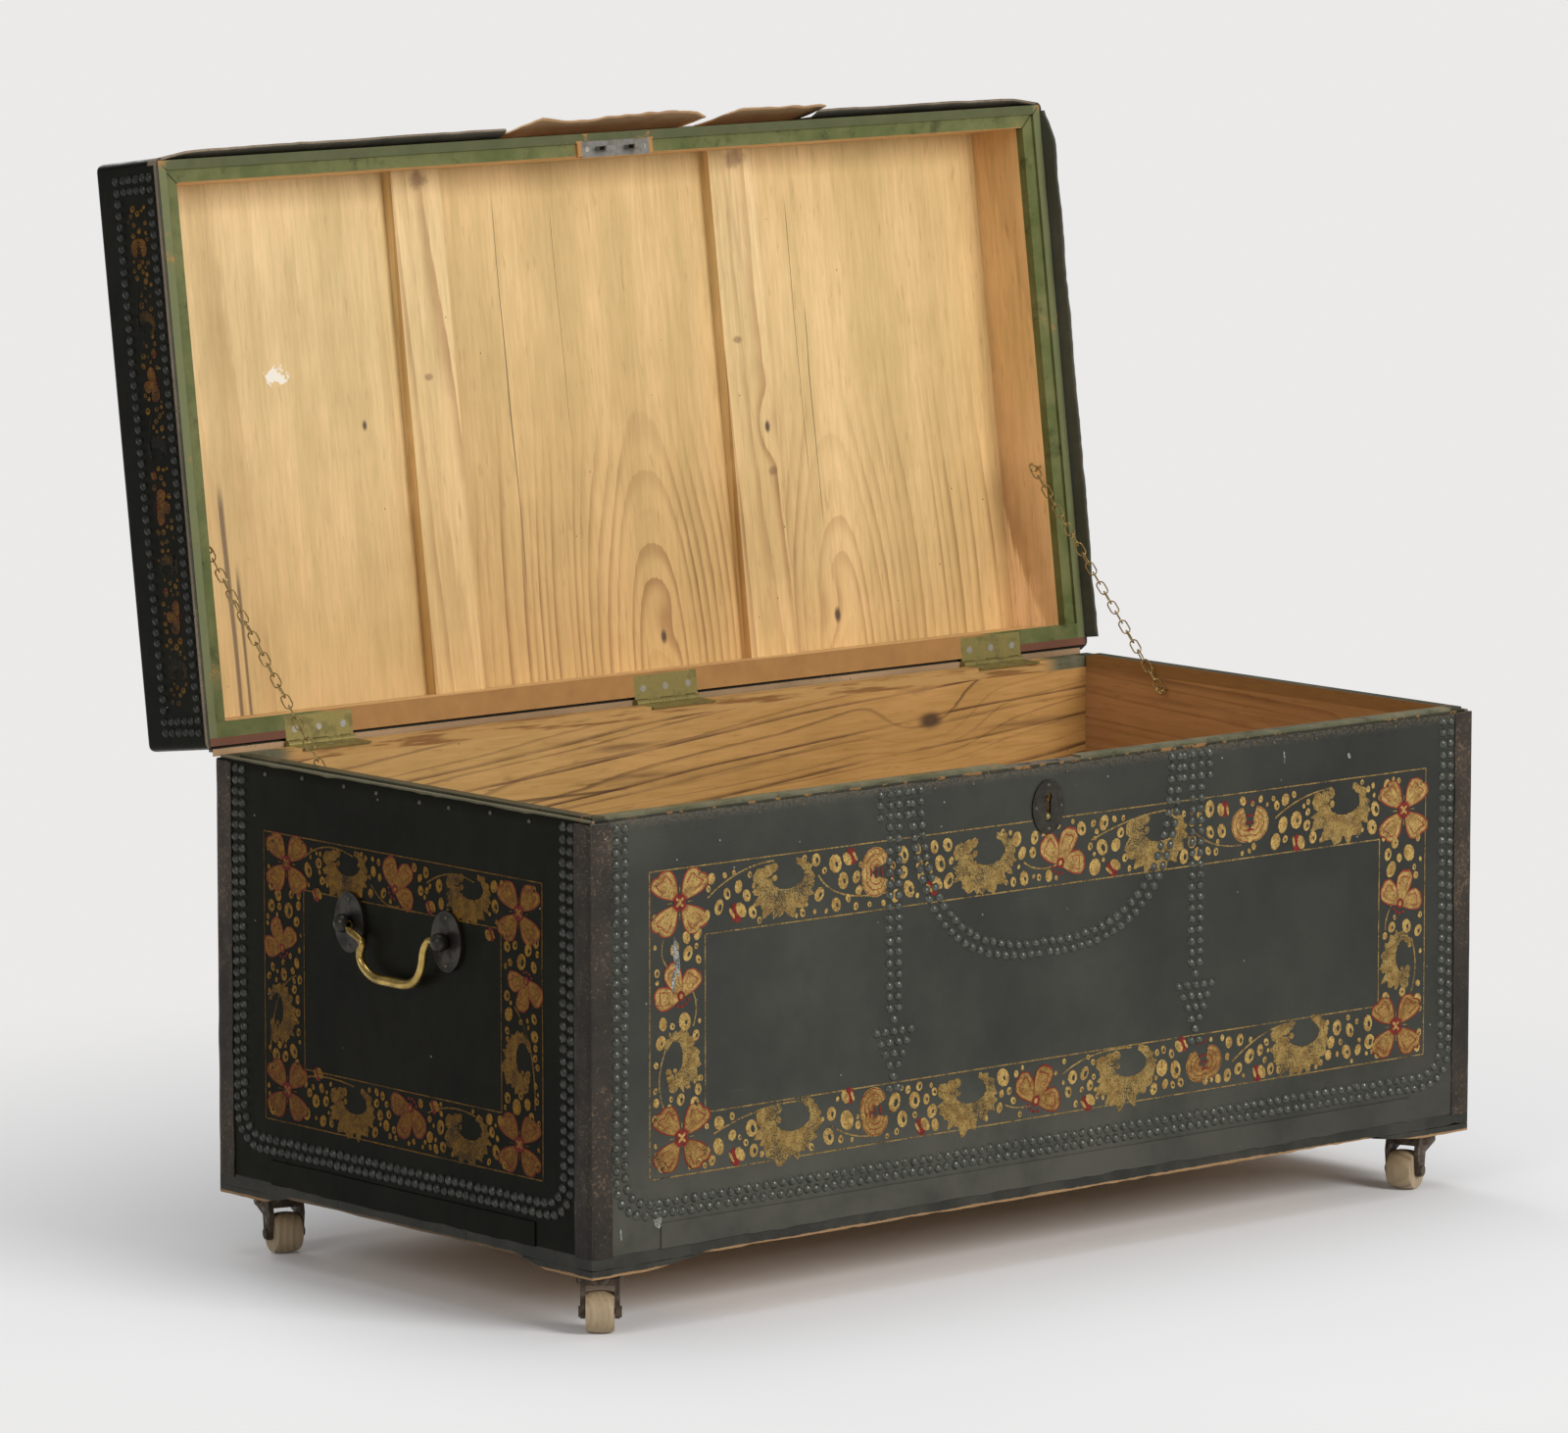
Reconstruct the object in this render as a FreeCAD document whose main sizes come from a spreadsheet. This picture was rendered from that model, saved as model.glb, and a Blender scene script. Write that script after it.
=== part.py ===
import FreeCAD, Part
import math
import os
import Sketcher

# Sea chest: a leather-covered camphor-wood chest with an open lid, in millimetres.
# Origin: on the floor under the middle of the carcass. X runs along the length, the front faces -Y, Z is up.
# The lid pieces are drawn as if the lid were shut, measured from the hinge axis, and then turned open.

doc = FreeCAD.newDocument("sea_chest")
sheet = doc.addObject("Spreadsheet::Sheet", "Sizes")

SIZES = [
    ("length_out", 1000.0),        # leather to leather, left to right
    ("depth_out", 496.0),          # leather to leather, front to back
    ("stand_high", 50.0),          # floor to the underside of the corner blocks
    ("body_high", 375.0),          # underside of the corner blocks to the rim's ledge
    ("block_high", 7.0),
    ("block_long", 115.0),
    ("block_deep", 90.0),
    ("floor_thick", 11.0),         # bottom planks
    ("plank_wide", 170.0),         # middle bottom plank, front to back
    ("plank_gap", 0.5),
    ("board_thick", 16.0),
    ("leather_thick", 2.5),
    ("strip_high", 10.0),          # rim strip below the ledge
    ("lip_high", 2.2),
    ("lip_wide", 12.0),
    ("lip_gap", 0.8),              # between lip and rabbet
    ("rim_gap", 0.8),              # between the two rims when the lid is shut
    ("lid_high", 88.0),
    ("lid_open", 97.7),            # angle of the open lid from shut, degrees
    ("lid_over", 5.0),             # lid overhang at the front and the ends
    ("lid_board_thick", 12.0),
    ("lid_strip_high", 12.0),
    ("lid_rail_thick", 20.0),
    ("crown_round", 6.0),          # rounding of the lid leather's edges
    ("batten_wide", 54.0),
    ("batten_thick", 12.0),
    ("batten_spread", 181.0),      # middle of the lid to the middle of a batten
    ("binding_wide", 22.0),
    ("binding_thick", 1.2),
    ("skirt_high", 20.0),
    ("skirt_end_gap", 50.0),       # from a corner binding to the end of a skirt strip
    ("hinge_back", 3.6),           # hinge axis behind the back leather
    ("hinge_long", 72.0),
    ("hinge_inset", 114.0),        # middle of an outer hinge to the end of the chest
    ("leaf_wide", 21.0),
    ("leaf_thick", 1.6),
    ("knuckle_radius", 3.2),
    ("knuckle_gap", 0.3),
    ("leaf_clear", 0.5),           # between a leaf's edge and the other leaf's knuckles
    ("hinge_pin_radius", 1.6),
    ("run_gap", 0.08),             # radial clearance of a running fit
    ("screw_radius", 1.5),
    ("screw_head_radius", 3.1),
    ("screw_long", 14.0),
    ("lock_middle", -3.0),         # middle of the lock along X
    ("lock_wide", 87.0),           # cut in the rim strip
    ("selvage_wide", 77.0),
    ("selvage_deep", 14.0),
    ("selvage_thick", 2.0),
    ("case_wide", 70.0),
    ("case_deep", 11.0),
    ("case_high", 52.0),
    ("case_wall", 1.5),
    ("staple_spread", 16.5),       # middle of the lock to the middle of a staple
    ("staple_wide", 11.0),
    ("staple_thick", 4.0),
    ("staple_high", 14.0),
    ("staple_gap", 1.2),           # around a staple in its slot
    ("bolt_thick", 2.4),
    ("finger_long", 6.5),
    ("finger_gap", 1.2),           # bolt finger to staple when drawn back
    ("bolt_gap", 0.3),             # bolt bar to the case walls
    ("keyhole_wide", 7.6),
    ("keyhole_high", 24.0),
    ("keyhole_down", 36.5),        # ledge to the middle of the keyhole
    ("plate_major", 23.0),         # escutcheon half height
    ("plate_minor", 18.0),         # escutcheon half width
    ("plate_thick", 1.4),
    ("nail_radius", 1.9),
    ("handle_up", 255.0),          # underside of the corner blocks to the bail's axis
    ("handle_spread", 64.5),       # middle of the end to the middle of a boss
    ("handle_plate_major", 25.5),
    ("handle_plate_minor", 19.5),
    ("handle_plate_thick", 3.0),
    ("boss_radius", 8.0),
    ("boss_out", 9.5),             # leather to the bail's axis
    ("bail_pin_radius", 2.6),
    ("bail_pin_long", 5.0),
    ("bail_radius", 3.4),
    ("bail_middle_radius", 4.6),
    ("bail_drop", 41.0),
    ("caster_inset_x", 36.0),
    ("caster_inset_y", 33.0),
    ("caster_trail", 13.0),
    ("caster_plate_radius", 24.0),
    ("caster_plate_thick", 2.5),
    ("king_radius", 4.0),
    ("king_head_radius", 6.5),
    ("king_head_high", 2.2),
    ("fork_top_thick", 6.5),
    ("fork_crown_radius", 20.0),   # round top of the fork
    ("fork_gap", 1.0),             # caster plate to fork
    ("fork_leg_thick", 4.0),
    ("wheel_radius", 17.5),
    ("wheel_wide", 23.0),
    ("wheel_crown", 28.0),         # half length of the egg that rounds the tread
    ("wheel_side_gap", 0.6),
    ("axle_radius", 2.5),
    ("axle_head_radius", 4.6),
    ("axle_head_high", 1.6),
    ("swivel_front_left", 229.0),
    ("swivel_front_right", 200.0),
    ("swivel_back_left", 255.0),
    ("swivel_back_right", 222.0),
    ("stay_base_back", 127.0),     # back leather to the chain's lower eye
    ("stay_base_down", 20.0),      # ledge to the chain's lower eye
    ("stay_lid_along", 172.0),     # hinge axis to the chain's upper eye, along the lid
    ("stay_lid_deep", 18.0),       # lid rim to the chain's upper eye
    ("stay_in", 8.0),              # end wall to the chain
    ("link_wire", 0.65),           # radius of the links' wire
    ("link_wide", 3.6),            # half width of a link, middle to wire
    ("link_pitch", 10.8),
    ("link_play", 0.1),
    ("eye_radius", 4.0),
    ("eye_wire", 0.8),
    ("eye_shank", 10.0),
    ("stud_radius", 3.4),
    ("stud_high", 2.2),
    ("stud_pitch", 9.6),
    ("stud_inset", 26.0),          # edge to the first column
    ("stud_column_gap", 9.2),
    ("stud_low", 46.0),            # underside of the corner blocks to the lowest row
    ("stud_top", 8.0),             # ledge to the highest stud
    ("lid_stud_low", 11.0),        # lid rim to the lower row on the lid's ends
    ("lid_stud_down", 30.0),       # lid top to the upper row on the lid's ends
    ("pendant_spread", 172.0),
    ("pendant_long", 180.0),
    ("swag_half", 152.0),
    ("swag_drop", 152.0),
    ("skin_skirt_long", 17.0),     # leather skirt left on the lid's right end
    ("skin_skirt_thick", 2.0),
    ("flap_left", -124.0),
    ("flap_right", 237.0),
    ("flap_deep", 42.0),
    ("flap_lift", 13.0),
]
for row, (alias, number) in enumerate(SIZES, start=1):
    sheet.set(f"A{row}", alias)
    sheet.set(f"B{row}", str(number))
    sheet.setAlias(f"B{row}", alias)
doc.recompute()


def size(alias):
    """A number from the sheet."""
    return float(sheet.get(alias))


def ref(alias):
    """The expression that names a size."""
    return f"Sizes.{alias}"


# Expressions for the places that several pieces share.
HALF_X = "(Sizes.length_out / 2)"
HALF_Y = "(Sizes.depth_out / 2)"
BOARD_X = "(Sizes.length_out / 2 - Sizes.leather_thick)"
BOARD_Y = "(Sizes.depth_out / 2 - Sizes.leather_thick)"
INSIDE_X = f"({BOARD_X} - Sizes.board_thick)"
INSIDE_Y = f"({BOARD_Y} - Sizes.board_thick)"
LEDGE = "(Sizes.stand_high + Sizes.body_high)"
PLANK_LOW = "(Sizes.stand_high + Sizes.block_high)"
CARCASS_LOW = f"({PLANK_LOW} + Sizes.floor_thick)"
BOARD_TOP = f"({LEDGE} - Sizes.strip_high)"
BOARD_HIGH = f"({BOARD_TOP} - {CARCASS_LOW})"
HINGE_Y = f"({HALF_Y} + Sizes.hinge_back)"
HINGE_Z = f"({LEDGE} + Sizes.rim_gap / 2)"
HINGE_SPREAD = "(Sizes.length_out / 2 - Sizes.hinge_inset)"

# The lid's own frame: X as before, Y towards the back, Z up from the hinge axis, lid shut.
LID_RIM = "(Sizes.rim_gap / 2)"
LID_X = f"({HALF_X} + Sizes.lid_over)"
LID_WOOD_X = f"({LID_X} - Sizes.leather_thick)"
LID_INSIDE_X = f"({LID_WOOD_X} - Sizes.lid_rail_thick)"
LID_BACK = "(-Sizes.hinge_back)"
LID_WOOD_BACK = f"({LID_BACK} - Sizes.leather_thick)"
LID_INSIDE_BACK = f"({LID_WOOD_BACK} - Sizes.lid_rail_thick)"
LID_FRONT = f"({LID_BACK} - Sizes.depth_out - Sizes.lid_over)"
LID_WOOD_FRONT = f"({LID_FRONT} + Sizes.leather_thick)"
LID_INSIDE_FRONT = f"({LID_WOOD_FRONT} + Sizes.lid_rail_thick)"
LID_TOP = f"({LID_RIM} + Sizes.lid_high)"
LID_BOARD_TOP = f"({LID_TOP} - Sizes.leather_thick)"
LID_BOARD_LOW = f"({LID_BOARD_TOP} - Sizes.lid_board_thick)"
LID_RAIL_LOW = f"({LID_RIM} + Sizes.lid_strip_high)"

# The same places as numbers, for the shapes made by loops.
half_x = size("length_out") / 2
half_y = size("depth_out") / 2
ledge = size("stand_high") + size("body_high")
inside_x = half_x - size("leather_thick") - size("board_thick")
hinge_y = half_y + size("hinge_back")
hinge_z = ledge + size("rim_gap") / 2
lid_x = half_x + size("lid_over")
lid_front = -size("hinge_back") - size("depth_out") - size("lid_over")
lid_rim = size("rim_gap") / 2

nodes = []


def vector(x, y, z):
    """A FreeCAD vector."""
    return FreeCAD.Vector(x, y, z)


def place(item, base, axis=None, angle=None):
    """Bind an object's Placement to expressions."""
    if angle is not None:
        turn = FreeCAD.Rotation(vector(*axis), 10.0)
        item.Placement = FreeCAD.Placement(vector(0, 0, 0), turn)
        item.setExpression("Placement.Rotation.Angle", angle)
    for letter, text in zip("xyz", base):
        item.setExpression(f"Placement.Base.{letter}", text)
    return item


def on_lid(item):
    """Turn a piece drawn in the lid's own frame open about the hinge axis."""
    return place(item, ("0", HINGE_Y, HINGE_Z), (-1, 0, 0), ref("lid_open"))


def node(item, label):
    """Name a finished sub-part, so that it is written to its own file."""
    item.Label = label
    nodes.append(item)
    return item


def box(low, high):
    """A Part box between two corners, each given as three expressions."""
    solid = doc.addObject("Part::Box", "Box")
    for name, start, stop in zip(("Length", "Width", "Height"), low, high):
        solid.setExpression(name, f"({stop}) - ({start})")
    return place(solid, low)


def cylinder(radius, height, base, axis=None, angle=None):
    """A Part cylinder with bound radius and height."""
    solid = doc.addObject("Part::Cylinder", "Cylinder")
    solid.setExpression("Radius", radius)
    solid.setExpression("Height", height)
    return place(solid, base, axis, angle)


def cone(radius_low, radius_high, height, base, axis=None, angle=None):
    """A Part cone with bound radii and height."""
    solid = doc.addObject("Part::Cone", "Cone")
    solid.setExpression("Radius1", radius_low)
    solid.setExpression("Radius2", radius_high)
    solid.setExpression("Height", height)
    return place(solid, base, axis, angle)


def fuse(items):
    """One solid from several that touch."""
    joined = doc.addObject("Part::MultiFuse", "Fuse")
    joined.Shapes = items
    joined.Refine = True
    return joined


def cut(item, tool):
    """An item with a tool's shape taken away."""
    left = doc.addObject("Part::Cut", "Cut")
    left.Base = item
    left.Tool = tool
    return left


def group(items):
    """Separate solids kept side by side in one sub-part."""
    bundle = doc.addObject("Part::Compound", "Group")
    bundle.Links = items
    return bundle


def made(shape):
    """A Part feature holding a shape that no feature above can make."""
    item = doc.addObject("Part::Feature", "Made")
    item.Shape = shape
    return item


def plane_of(body, role):
    """One of a body's own origin planes."""
    return [plane for plane in body.Origin.OriginFeatures if plane.Role == role][0]


def outline_sketch(body, role, lift, points):
    """A closed outline in a body; each corner is pinned by a pair of expressions."""
    sketch = body.newObject("Sketcher::SketchObject", "Outline")
    sketch.AttachmentSupport = [(plane_of(body, role), "")]
    sketch.MapMode = "FlatFace"
    sketch.setExpression("AttachmentOffset.Base.z", lift)
    count = len(points)
    for number in range(count):
        a = 2 * math.pi * number / count
        b = 2 * math.pi * (number + 1) / count
        first = vector(50 * math.cos(a), 50 * math.sin(a), 0)
        second = vector(50 * math.cos(b), 50 * math.sin(b), 0)
        sketch.addGeometry(Part.LineSegment(first, second), False)
    for number in range(count):
        sketch.addConstraint(Sketcher.Constraint("Coincident", number, 2, (number + 1) % count, 1))
    for number, (across, along) in enumerate(points):
        angle = 2 * math.pi * number / count
        start = vector(50 * math.cos(angle), 50 * math.sin(angle), 0)
        for kind, value, text in (("DistanceX", start.x, across), ("DistanceY", start.y, along)):
            index = sketch.addConstraint(Sketcher.Constraint(kind, -1, 1, number, 1, value))
            sketch.setExpression(f"Constraints[{index}]", text)
    return sketch


def pad(body, role, lift, points, length):
    """Pad an outline upwards from a lifted plane."""
    sketch = outline_sketch(body, role, lift, points)
    feature = body.newObject("PartDesign::Pad", "Pad")
    feature.Profile = sketch
    feature.setExpression("Length", length)
    return feature


def pocket(body, role, lift, points, depth):
    """Cut an outline into a body, from a lifted plane against the plane's normal."""
    sketch = outline_sketch(body, role, lift, points)
    feature = body.newObject("PartDesign::Pocket", "Pocket")
    feature.Profile = sketch
    feature.setExpression("Length", depth)
    return feature


def new_body():
    """An empty PartDesign body."""
    return doc.addObject("PartDesign::Body", "Body")


def rectangle(low_x, low_y, high_x, high_y):
    """The four corners of a rectangle."""
    return [(low_x, low_y), (high_x, low_y), (high_x, high_y), (low_x, high_y)]


# Carcass boards: the ends stand between the front and the back, and all stand on the bottom planks.
LOCK_LEFT = "(Sizes.lock_middle - Sizes.case_wide / 2)"
LOCK_RIGHT = "(Sizes.lock_middle + Sizes.case_wide / 2)"
CASE_TOP = f"({LEDGE} - Sizes.selvage_thick)"
CASE_LOW = f"({CASE_TOP} - Sizes.case_high)"
FRONT_INSIDE = f"(-{INSIDE_Y})"
KEY_X = "Sizes.lock_middle"
KEY_Z = f"({LEDGE} - Sizes.keyhole_down)"


def keyhole(start_y, stop_y):
    """A round-topped keyhole that runs through from start_y to stop_y."""
    radius = "Sizes.keyhole_wide / 2"
    top = f"({KEY_Z} + Sizes.keyhole_high / 2 - {radius})"
    length = f"({stop_y}) - ({start_y})"
    ring = cylinder(radius, length, (KEY_X, start_y, top), (-1, 0, 0), "90")
    low = (f"{KEY_X} - {radius} * 0.62", start_y, f"{KEY_Z} - Sizes.keyhole_high / 2")
    high = (f"{KEY_X} + {radius} * 0.62", stop_y, top)
    return fuse([ring, box(low, high)])


front_blank = box((f"-{BOARD_X}", f"-{BOARD_Y}", CARCASS_LOW), (BOARD_X, FRONT_INSIDE, BOARD_TOP))
case_seat = box((LOCK_LEFT, f"{FRONT_INSIDE} - Sizes.case_deep", CASE_LOW), (LOCK_RIGHT, FRONT_INSIDE, LEDGE))
front_hole = keyhole(f"-{HALF_Y} - 1", FRONT_INSIDE)
node(cut(cut(front_blank, case_seat), front_hole), "front_board")
node(box((f"-{BOARD_X}", INSIDE_Y, CARCASS_LOW), (BOARD_X, BOARD_Y, BOARD_TOP)), "back_board")
left_end = box((f"-{BOARD_X}", f"-{INSIDE_Y}", CARCASS_LOW), (f"-{INSIDE_X}", INSIDE_Y, BOARD_TOP))
right_end = box((INSIDE_X, f"-{INSIDE_Y}", CARCASS_LOW), (BOARD_X, INSIDE_Y, BOARD_TOP))
node(left_end, "left_end_board")
node(right_end, "right_end_board")

# Bottom planks: three side by side under the boards, with a thin gap between them.
PLANK_FRONT = "(-Sizes.plank_wide / 2)"
PLANK_BACK = "(Sizes.plank_wide / 2)"
plank_rows = [
    ("bottom_plank_front", f"-{HALF_Y}", f"{PLANK_FRONT} - Sizes.plank_gap"),
    ("bottom_plank_middle", PLANK_FRONT, PLANK_BACK),
    ("bottom_plank_back", f"{PLANK_BACK} + Sizes.plank_gap", HALF_Y),
]
for label, start, stop in plank_rows:
    node(box((f"-{HALF_X}", start, PLANK_LOW), (HALF_X, stop, CARCASS_LOW)), label)

# Corner blocks under the planks, one at each corner.
blocks = []
for side in (-1, 1):
    for end in (-1, 1):
        low_x = f"-{HALF_X}" if side < 0 else f"{HALF_X} - Sizes.block_long"
        high_x = f"-{HALF_X} + Sizes.block_long" if side < 0 else HALF_X
        low_y = f"-{HALF_Y}" if end < 0 else f"{HALF_Y} - Sizes.block_deep"
        high_y = f"-{HALF_Y} + Sizes.block_deep" if end < 0 else HALF_Y
        blocks.append(box((low_x, low_y, ref("stand_high")), (high_x, high_y, PLANK_LOW)))
node(group(blocks), "corner_blocks")

# Rim strips on the carcass: mitred, with a lip on the front and the ends, and a cut for the lock.
def mitred_strip(edge, outer_x, outer_y, inner_x, inner_y):
    """The plan outline of one mitred strip of a frame between an outer and an inner rectangle."""
    (low_x, high_x), (low_y, high_y) = outer_x, outer_y
    (in_low_x, in_high_x), (in_low_y, in_high_y) = inner_x, inner_y
    corners = {
        "front": [(low_x, low_y), (high_x, low_y), (in_high_x, in_low_y), (in_low_x, in_low_y)],
        "back": [(in_low_x, in_high_y), (in_high_x, in_high_y), (high_x, high_y), (low_x, high_y)],
        "left": [(low_x, low_y), (in_low_x, in_low_y), (in_low_x, in_high_y), (low_x, high_y)],
        "right": [(in_high_x, in_low_y), (high_x, low_y), (high_x, high_y), (in_high_x, in_high_y)],
    }
    return corners[edge]


board_x_pair = (f"-{BOARD_X}", BOARD_X)
board_y_pair = (f"-{BOARD_Y}", BOARD_Y)
inside_x_pair = (f"-{INSIDE_X}", INSIDE_X)
inside_y_pair = (f"-{INSIDE_Y}", INSIDE_Y)
lip_x_pair = (f"-{INSIDE_X} - Sizes.lip_wide", f"{INSIDE_X} + Sizes.lip_wide")
lip_y_pair = (f"-{INSIDE_Y} - Sizes.lip_wide", f"{INSIDE_Y} + Sizes.lip_wide")
strips = []
for edge in ("front", "back", "left", "right"):
    body = new_body()
    plan = mitred_strip(edge, board_x_pair, board_y_pair, inside_x_pair, inside_y_pair)
    pad(body, "XY_Plane", BOARD_TOP, plan, ref("strip_high"))
    if edge != "back":
        lip = mitred_strip(edge, lip_x_pair, lip_y_pair, inside_x_pair, inside_y_pair)
        if edge != "front":
            stop = f"{HINGE_Y} + {LID_INSIDE_BACK} - Sizes.lip_gap - 1"
            inner = f"-{INSIDE_X}" if edge == "left" else INSIDE_X
            outer = f"-{INSIDE_X} - Sizes.lip_wide" if edge == "left" else f"{INSIDE_X} + Sizes.lip_wide"
            front_outer = f"-{INSIDE_Y} - Sizes.lip_wide"
            lip = [(outer, front_outer), (inner, f"-{INSIDE_Y}"), (inner, stop), (outer, stop)]
        pad(body, "XY_Plane", LEDGE, lip, ref("lip_high"))
    if edge == "front":
        seat = rectangle("Sizes.lock_middle - Sizes.selvage_wide / 2", f"{FRONT_INSIDE} - Sizes.selvage_deep",
                         "Sizes.lock_middle + Sizes.selvage_wide / 2", FRONT_INSIDE)
        opening = rectangle("Sizes.lock_middle - Sizes.lock_wide / 2", f"{FRONT_INSIDE} - Sizes.lip_wide - 1",
                            "Sizes.lock_middle + Sizes.lock_wide / 2", f"{FRONT_INSIDE} + 1")
        pocket(body, "XY_Plane", f"{LEDGE} + Sizes.lip_high + 1", opening, "Sizes.lip_high + 1")
        pocket(body, "XY_Plane", LEDGE, seat, ref("selvage_thick"))
        hole = rectangle(LOCK_LEFT, f"{FRONT_INSIDE} - Sizes.case_deep", LOCK_RIGHT, f"{FRONT_INSIDE} + 1")
        pocket(body, "XY_Plane", LEDGE, hole, "Sizes.strip_high + 1")
    if edge == "back":
        for step in (-1, 0, 1):
            low_x = f"{step} * {HINGE_SPREAD} - Sizes.hinge_long / 2"
            high_x = f"{step} * {HINGE_SPREAD} + Sizes.hinge_long / 2"
            leaf = rectangle(low_x, f"{HINGE_Y} - Sizes.knuckle_radius - Sizes.leaf_clear - Sizes.leaf_wide",
                             high_x, f"{BOARD_Y} + 1")
            pocket(body, "XY_Plane", LEDGE, leaf, ref("leaf_thick"))
    strips.append(body)
node(group(strips), "base_rim")

# Leather panels on the carcass. The front and back panels cover the edges of the end panels.
LEATHER_TOP = f"({LEDGE} - 1)"
BACK_NOTCH = f"({LEDGE} - Sizes.leaf_thick - 0.4)"
front_skin = box((f"-{HALF_X}", f"-{HALF_Y}", CARCASS_LOW), (HALF_X, f"-{BOARD_Y}", LEATHER_TOP))
skin_hole = keyhole(f"-{HALF_Y} - 1", FRONT_INSIDE)
node(cut(front_skin, skin_hole), "leather_front")
node(box((f"-{HALF_X}", BOARD_Y, CARCASS_LOW), (HALF_X, HALF_Y, BACK_NOTCH)), "leather_back")
node(box((f"-{HALF_X}", f"-{BOARD_Y}", CARCASS_LOW), (f"-{BOARD_X}", BOARD_Y, LEATHER_TOP)), "leather_left")
node(box((BOARD_X, f"-{BOARD_Y}", CARCASS_LOW), (HALF_X, BOARD_Y, LEATHER_TOP)), "leather_right")

# Corner bindings: one leather strip folded round each upright corner.
bindings = []
for side in (-1, 1):
    for end in (-1, 1):
        corner_x = f"({side} * {HALF_X})"
        corner_y = f"({end} * {HALF_Y})"
        out_x = f"{corner_x} + {side} * Sizes.binding_thick"
        out_y = f"{corner_y} + {end} * Sizes.binding_thick"
        in_x = f"{corner_x} - {side} * Sizes.binding_wide"
        in_y = f"{corner_y} - {end} * Sizes.binding_wide"
        body = new_body()
        fold = [(out_x, out_y), (in_x, out_y), (in_x, corner_y),
                (corner_x, corner_y), (corner_x, in_y), (out_x, in_y)]
        pad(body, "XY_Plane", CARCASS_LOW, fold, f"{LEATHER_TOP} - 1 - {CARCASS_LOW}")
        bindings.append(body)
node(group(bindings), "corner_bindings")

# Skirt strips: a second band of leather low on each face, between the bindings.
SKIRT_X = f"({HALF_X} - Sizes.binding_wide - Sizes.skirt_end_gap)"
SKIRT_Y = f"({HALF_Y} - Sizes.binding_wide - Sizes.skirt_end_gap)"
SKIRT_TOP = f"({CARCASS_LOW} + Sizes.skirt_high)"
skirts = [
    box((f"-{SKIRT_X}", f"-{HALF_Y} - Sizes.binding_thick", CARCASS_LOW), (SKIRT_X, f"-{HALF_Y}", SKIRT_TOP)),
    box((f"-{SKIRT_X}", HALF_Y, CARCASS_LOW), (SKIRT_X, f"{HALF_Y} + Sizes.binding_thick", SKIRT_TOP)),
    box((f"-{HALF_X} - Sizes.binding_thick", f"-{SKIRT_Y}", CARCASS_LOW), (f"-{HALF_X}", SKIRT_Y, SKIRT_TOP)),
    box((HALF_X, f"-{SKIRT_Y}", CARCASS_LOW), (f"{HALF_X} + Sizes.binding_thick", SKIRT_Y, SKIRT_TOP)),
]
node(group(skirts), "skirt_strips")

# Lid: rails, boards, battens and rim strips, all in the lid's own frame.
rail_rows = [
    ("lid_front_rail", f"-{LID_WOOD_X}", LID_WOOD_X, LID_WOOD_FRONT, LID_INSIDE_FRONT),
    ("lid_back_rail", f"-{LID_WOOD_X}", LID_WOOD_X, LID_INSIDE_BACK, LID_WOOD_BACK),
    ("lid_left_rail", f"-{LID_WOOD_X}", f"-{LID_INSIDE_X}", LID_INSIDE_FRONT, LID_INSIDE_BACK),
    ("lid_right_rail", LID_INSIDE_X, LID_WOOD_X, LID_INSIDE_FRONT, LID_INSIDE_BACK),
]
for label, low_x, high_x, low_y, high_y in rail_rows:
    body = new_body()
    plan = rectangle(low_x, low_y, high_x, high_y)
    pad(body, "XY_Plane", LID_RAIL_LOW, plan, f"{LID_BOARD_LOW} - {LID_RAIL_LOW}")
    node(on_lid(body), label)

SEAM_NEAR = "(Sizes.batten_spread - Sizes.plank_gap / 2)"
SEAM_FAR = "(Sizes.batten_spread + Sizes.plank_gap / 2)"
board_rows = [
    ("lid_board_left", f"-{LID_WOOD_X}", f"-{SEAM_FAR}"),
    ("lid_board_middle", f"-{SEAM_NEAR}", SEAM_NEAR),
    ("lid_board_right", SEAM_FAR, LID_WOOD_X),
]
for label, low_x, high_x in board_rows:
    body = new_body()
    plan = rectangle(low_x, LID_WOOD_FRONT, high_x, LID_WOOD_BACK)
    pad(body, "XY_Plane", LID_BOARD_LOW, plan, ref("lid_board_thick"))
    node(on_lid(body), label)

battens = []
for side in (-1, 1):
    body = new_body()
    low_x = f"{side} * Sizes.batten_spread - Sizes.batten_wide / 2"
    high_x = f"{side} * Sizes.batten_spread + Sizes.batten_wide / 2"
    pad(body, "XY_Plane", f"{LID_BOARD_LOW} - Sizes.batten_thick",
        rectangle(low_x, LID_INSIDE_FRONT, high_x, LID_INSIDE_BACK), ref("batten_thick"))
    battens.append(body)
node(on_lid(group(battens)), "lid_battens")

# Lid rim strips: an outer band on the rim plane and, except at the back, an inner rabbet over the lip.
lid_x_pair = (f"-{LID_WOOD_X}", LID_WOOD_X)
lid_y_pair = (LID_WOOD_FRONT, LID_WOOD_BACK)
lid_in_x_pair = (f"-{LID_INSIDE_X}", LID_INSIDE_X)
lid_in_y_pair = (LID_INSIDE_FRONT, LID_INSIDE_BACK)
RABBET_X = f"({INSIDE_X} + Sizes.lip_wide + Sizes.lip_gap)"
RABBET_FRONT = f"(-{INSIDE_Y} - Sizes.lip_wide - Sizes.lip_gap - {HINGE_Y})"
RABBET_HIGH = "(Sizes.lip_high + Sizes.lip_gap)"
STRIKE_LEFT = "(Sizes.lock_middle - Sizes.selvage_wide / 2)"
STRIKE_RIGHT = "(Sizes.lock_middle + Sizes.selvage_wide / 2)"
SLOT_Y = f"({FRONT_INSIDE} - Sizes.selvage_deep / 2)"
STRIKE_FRONT = f"({SLOT_Y} - Sizes.selvage_deep / 2 - {HINGE_Y})"
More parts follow.
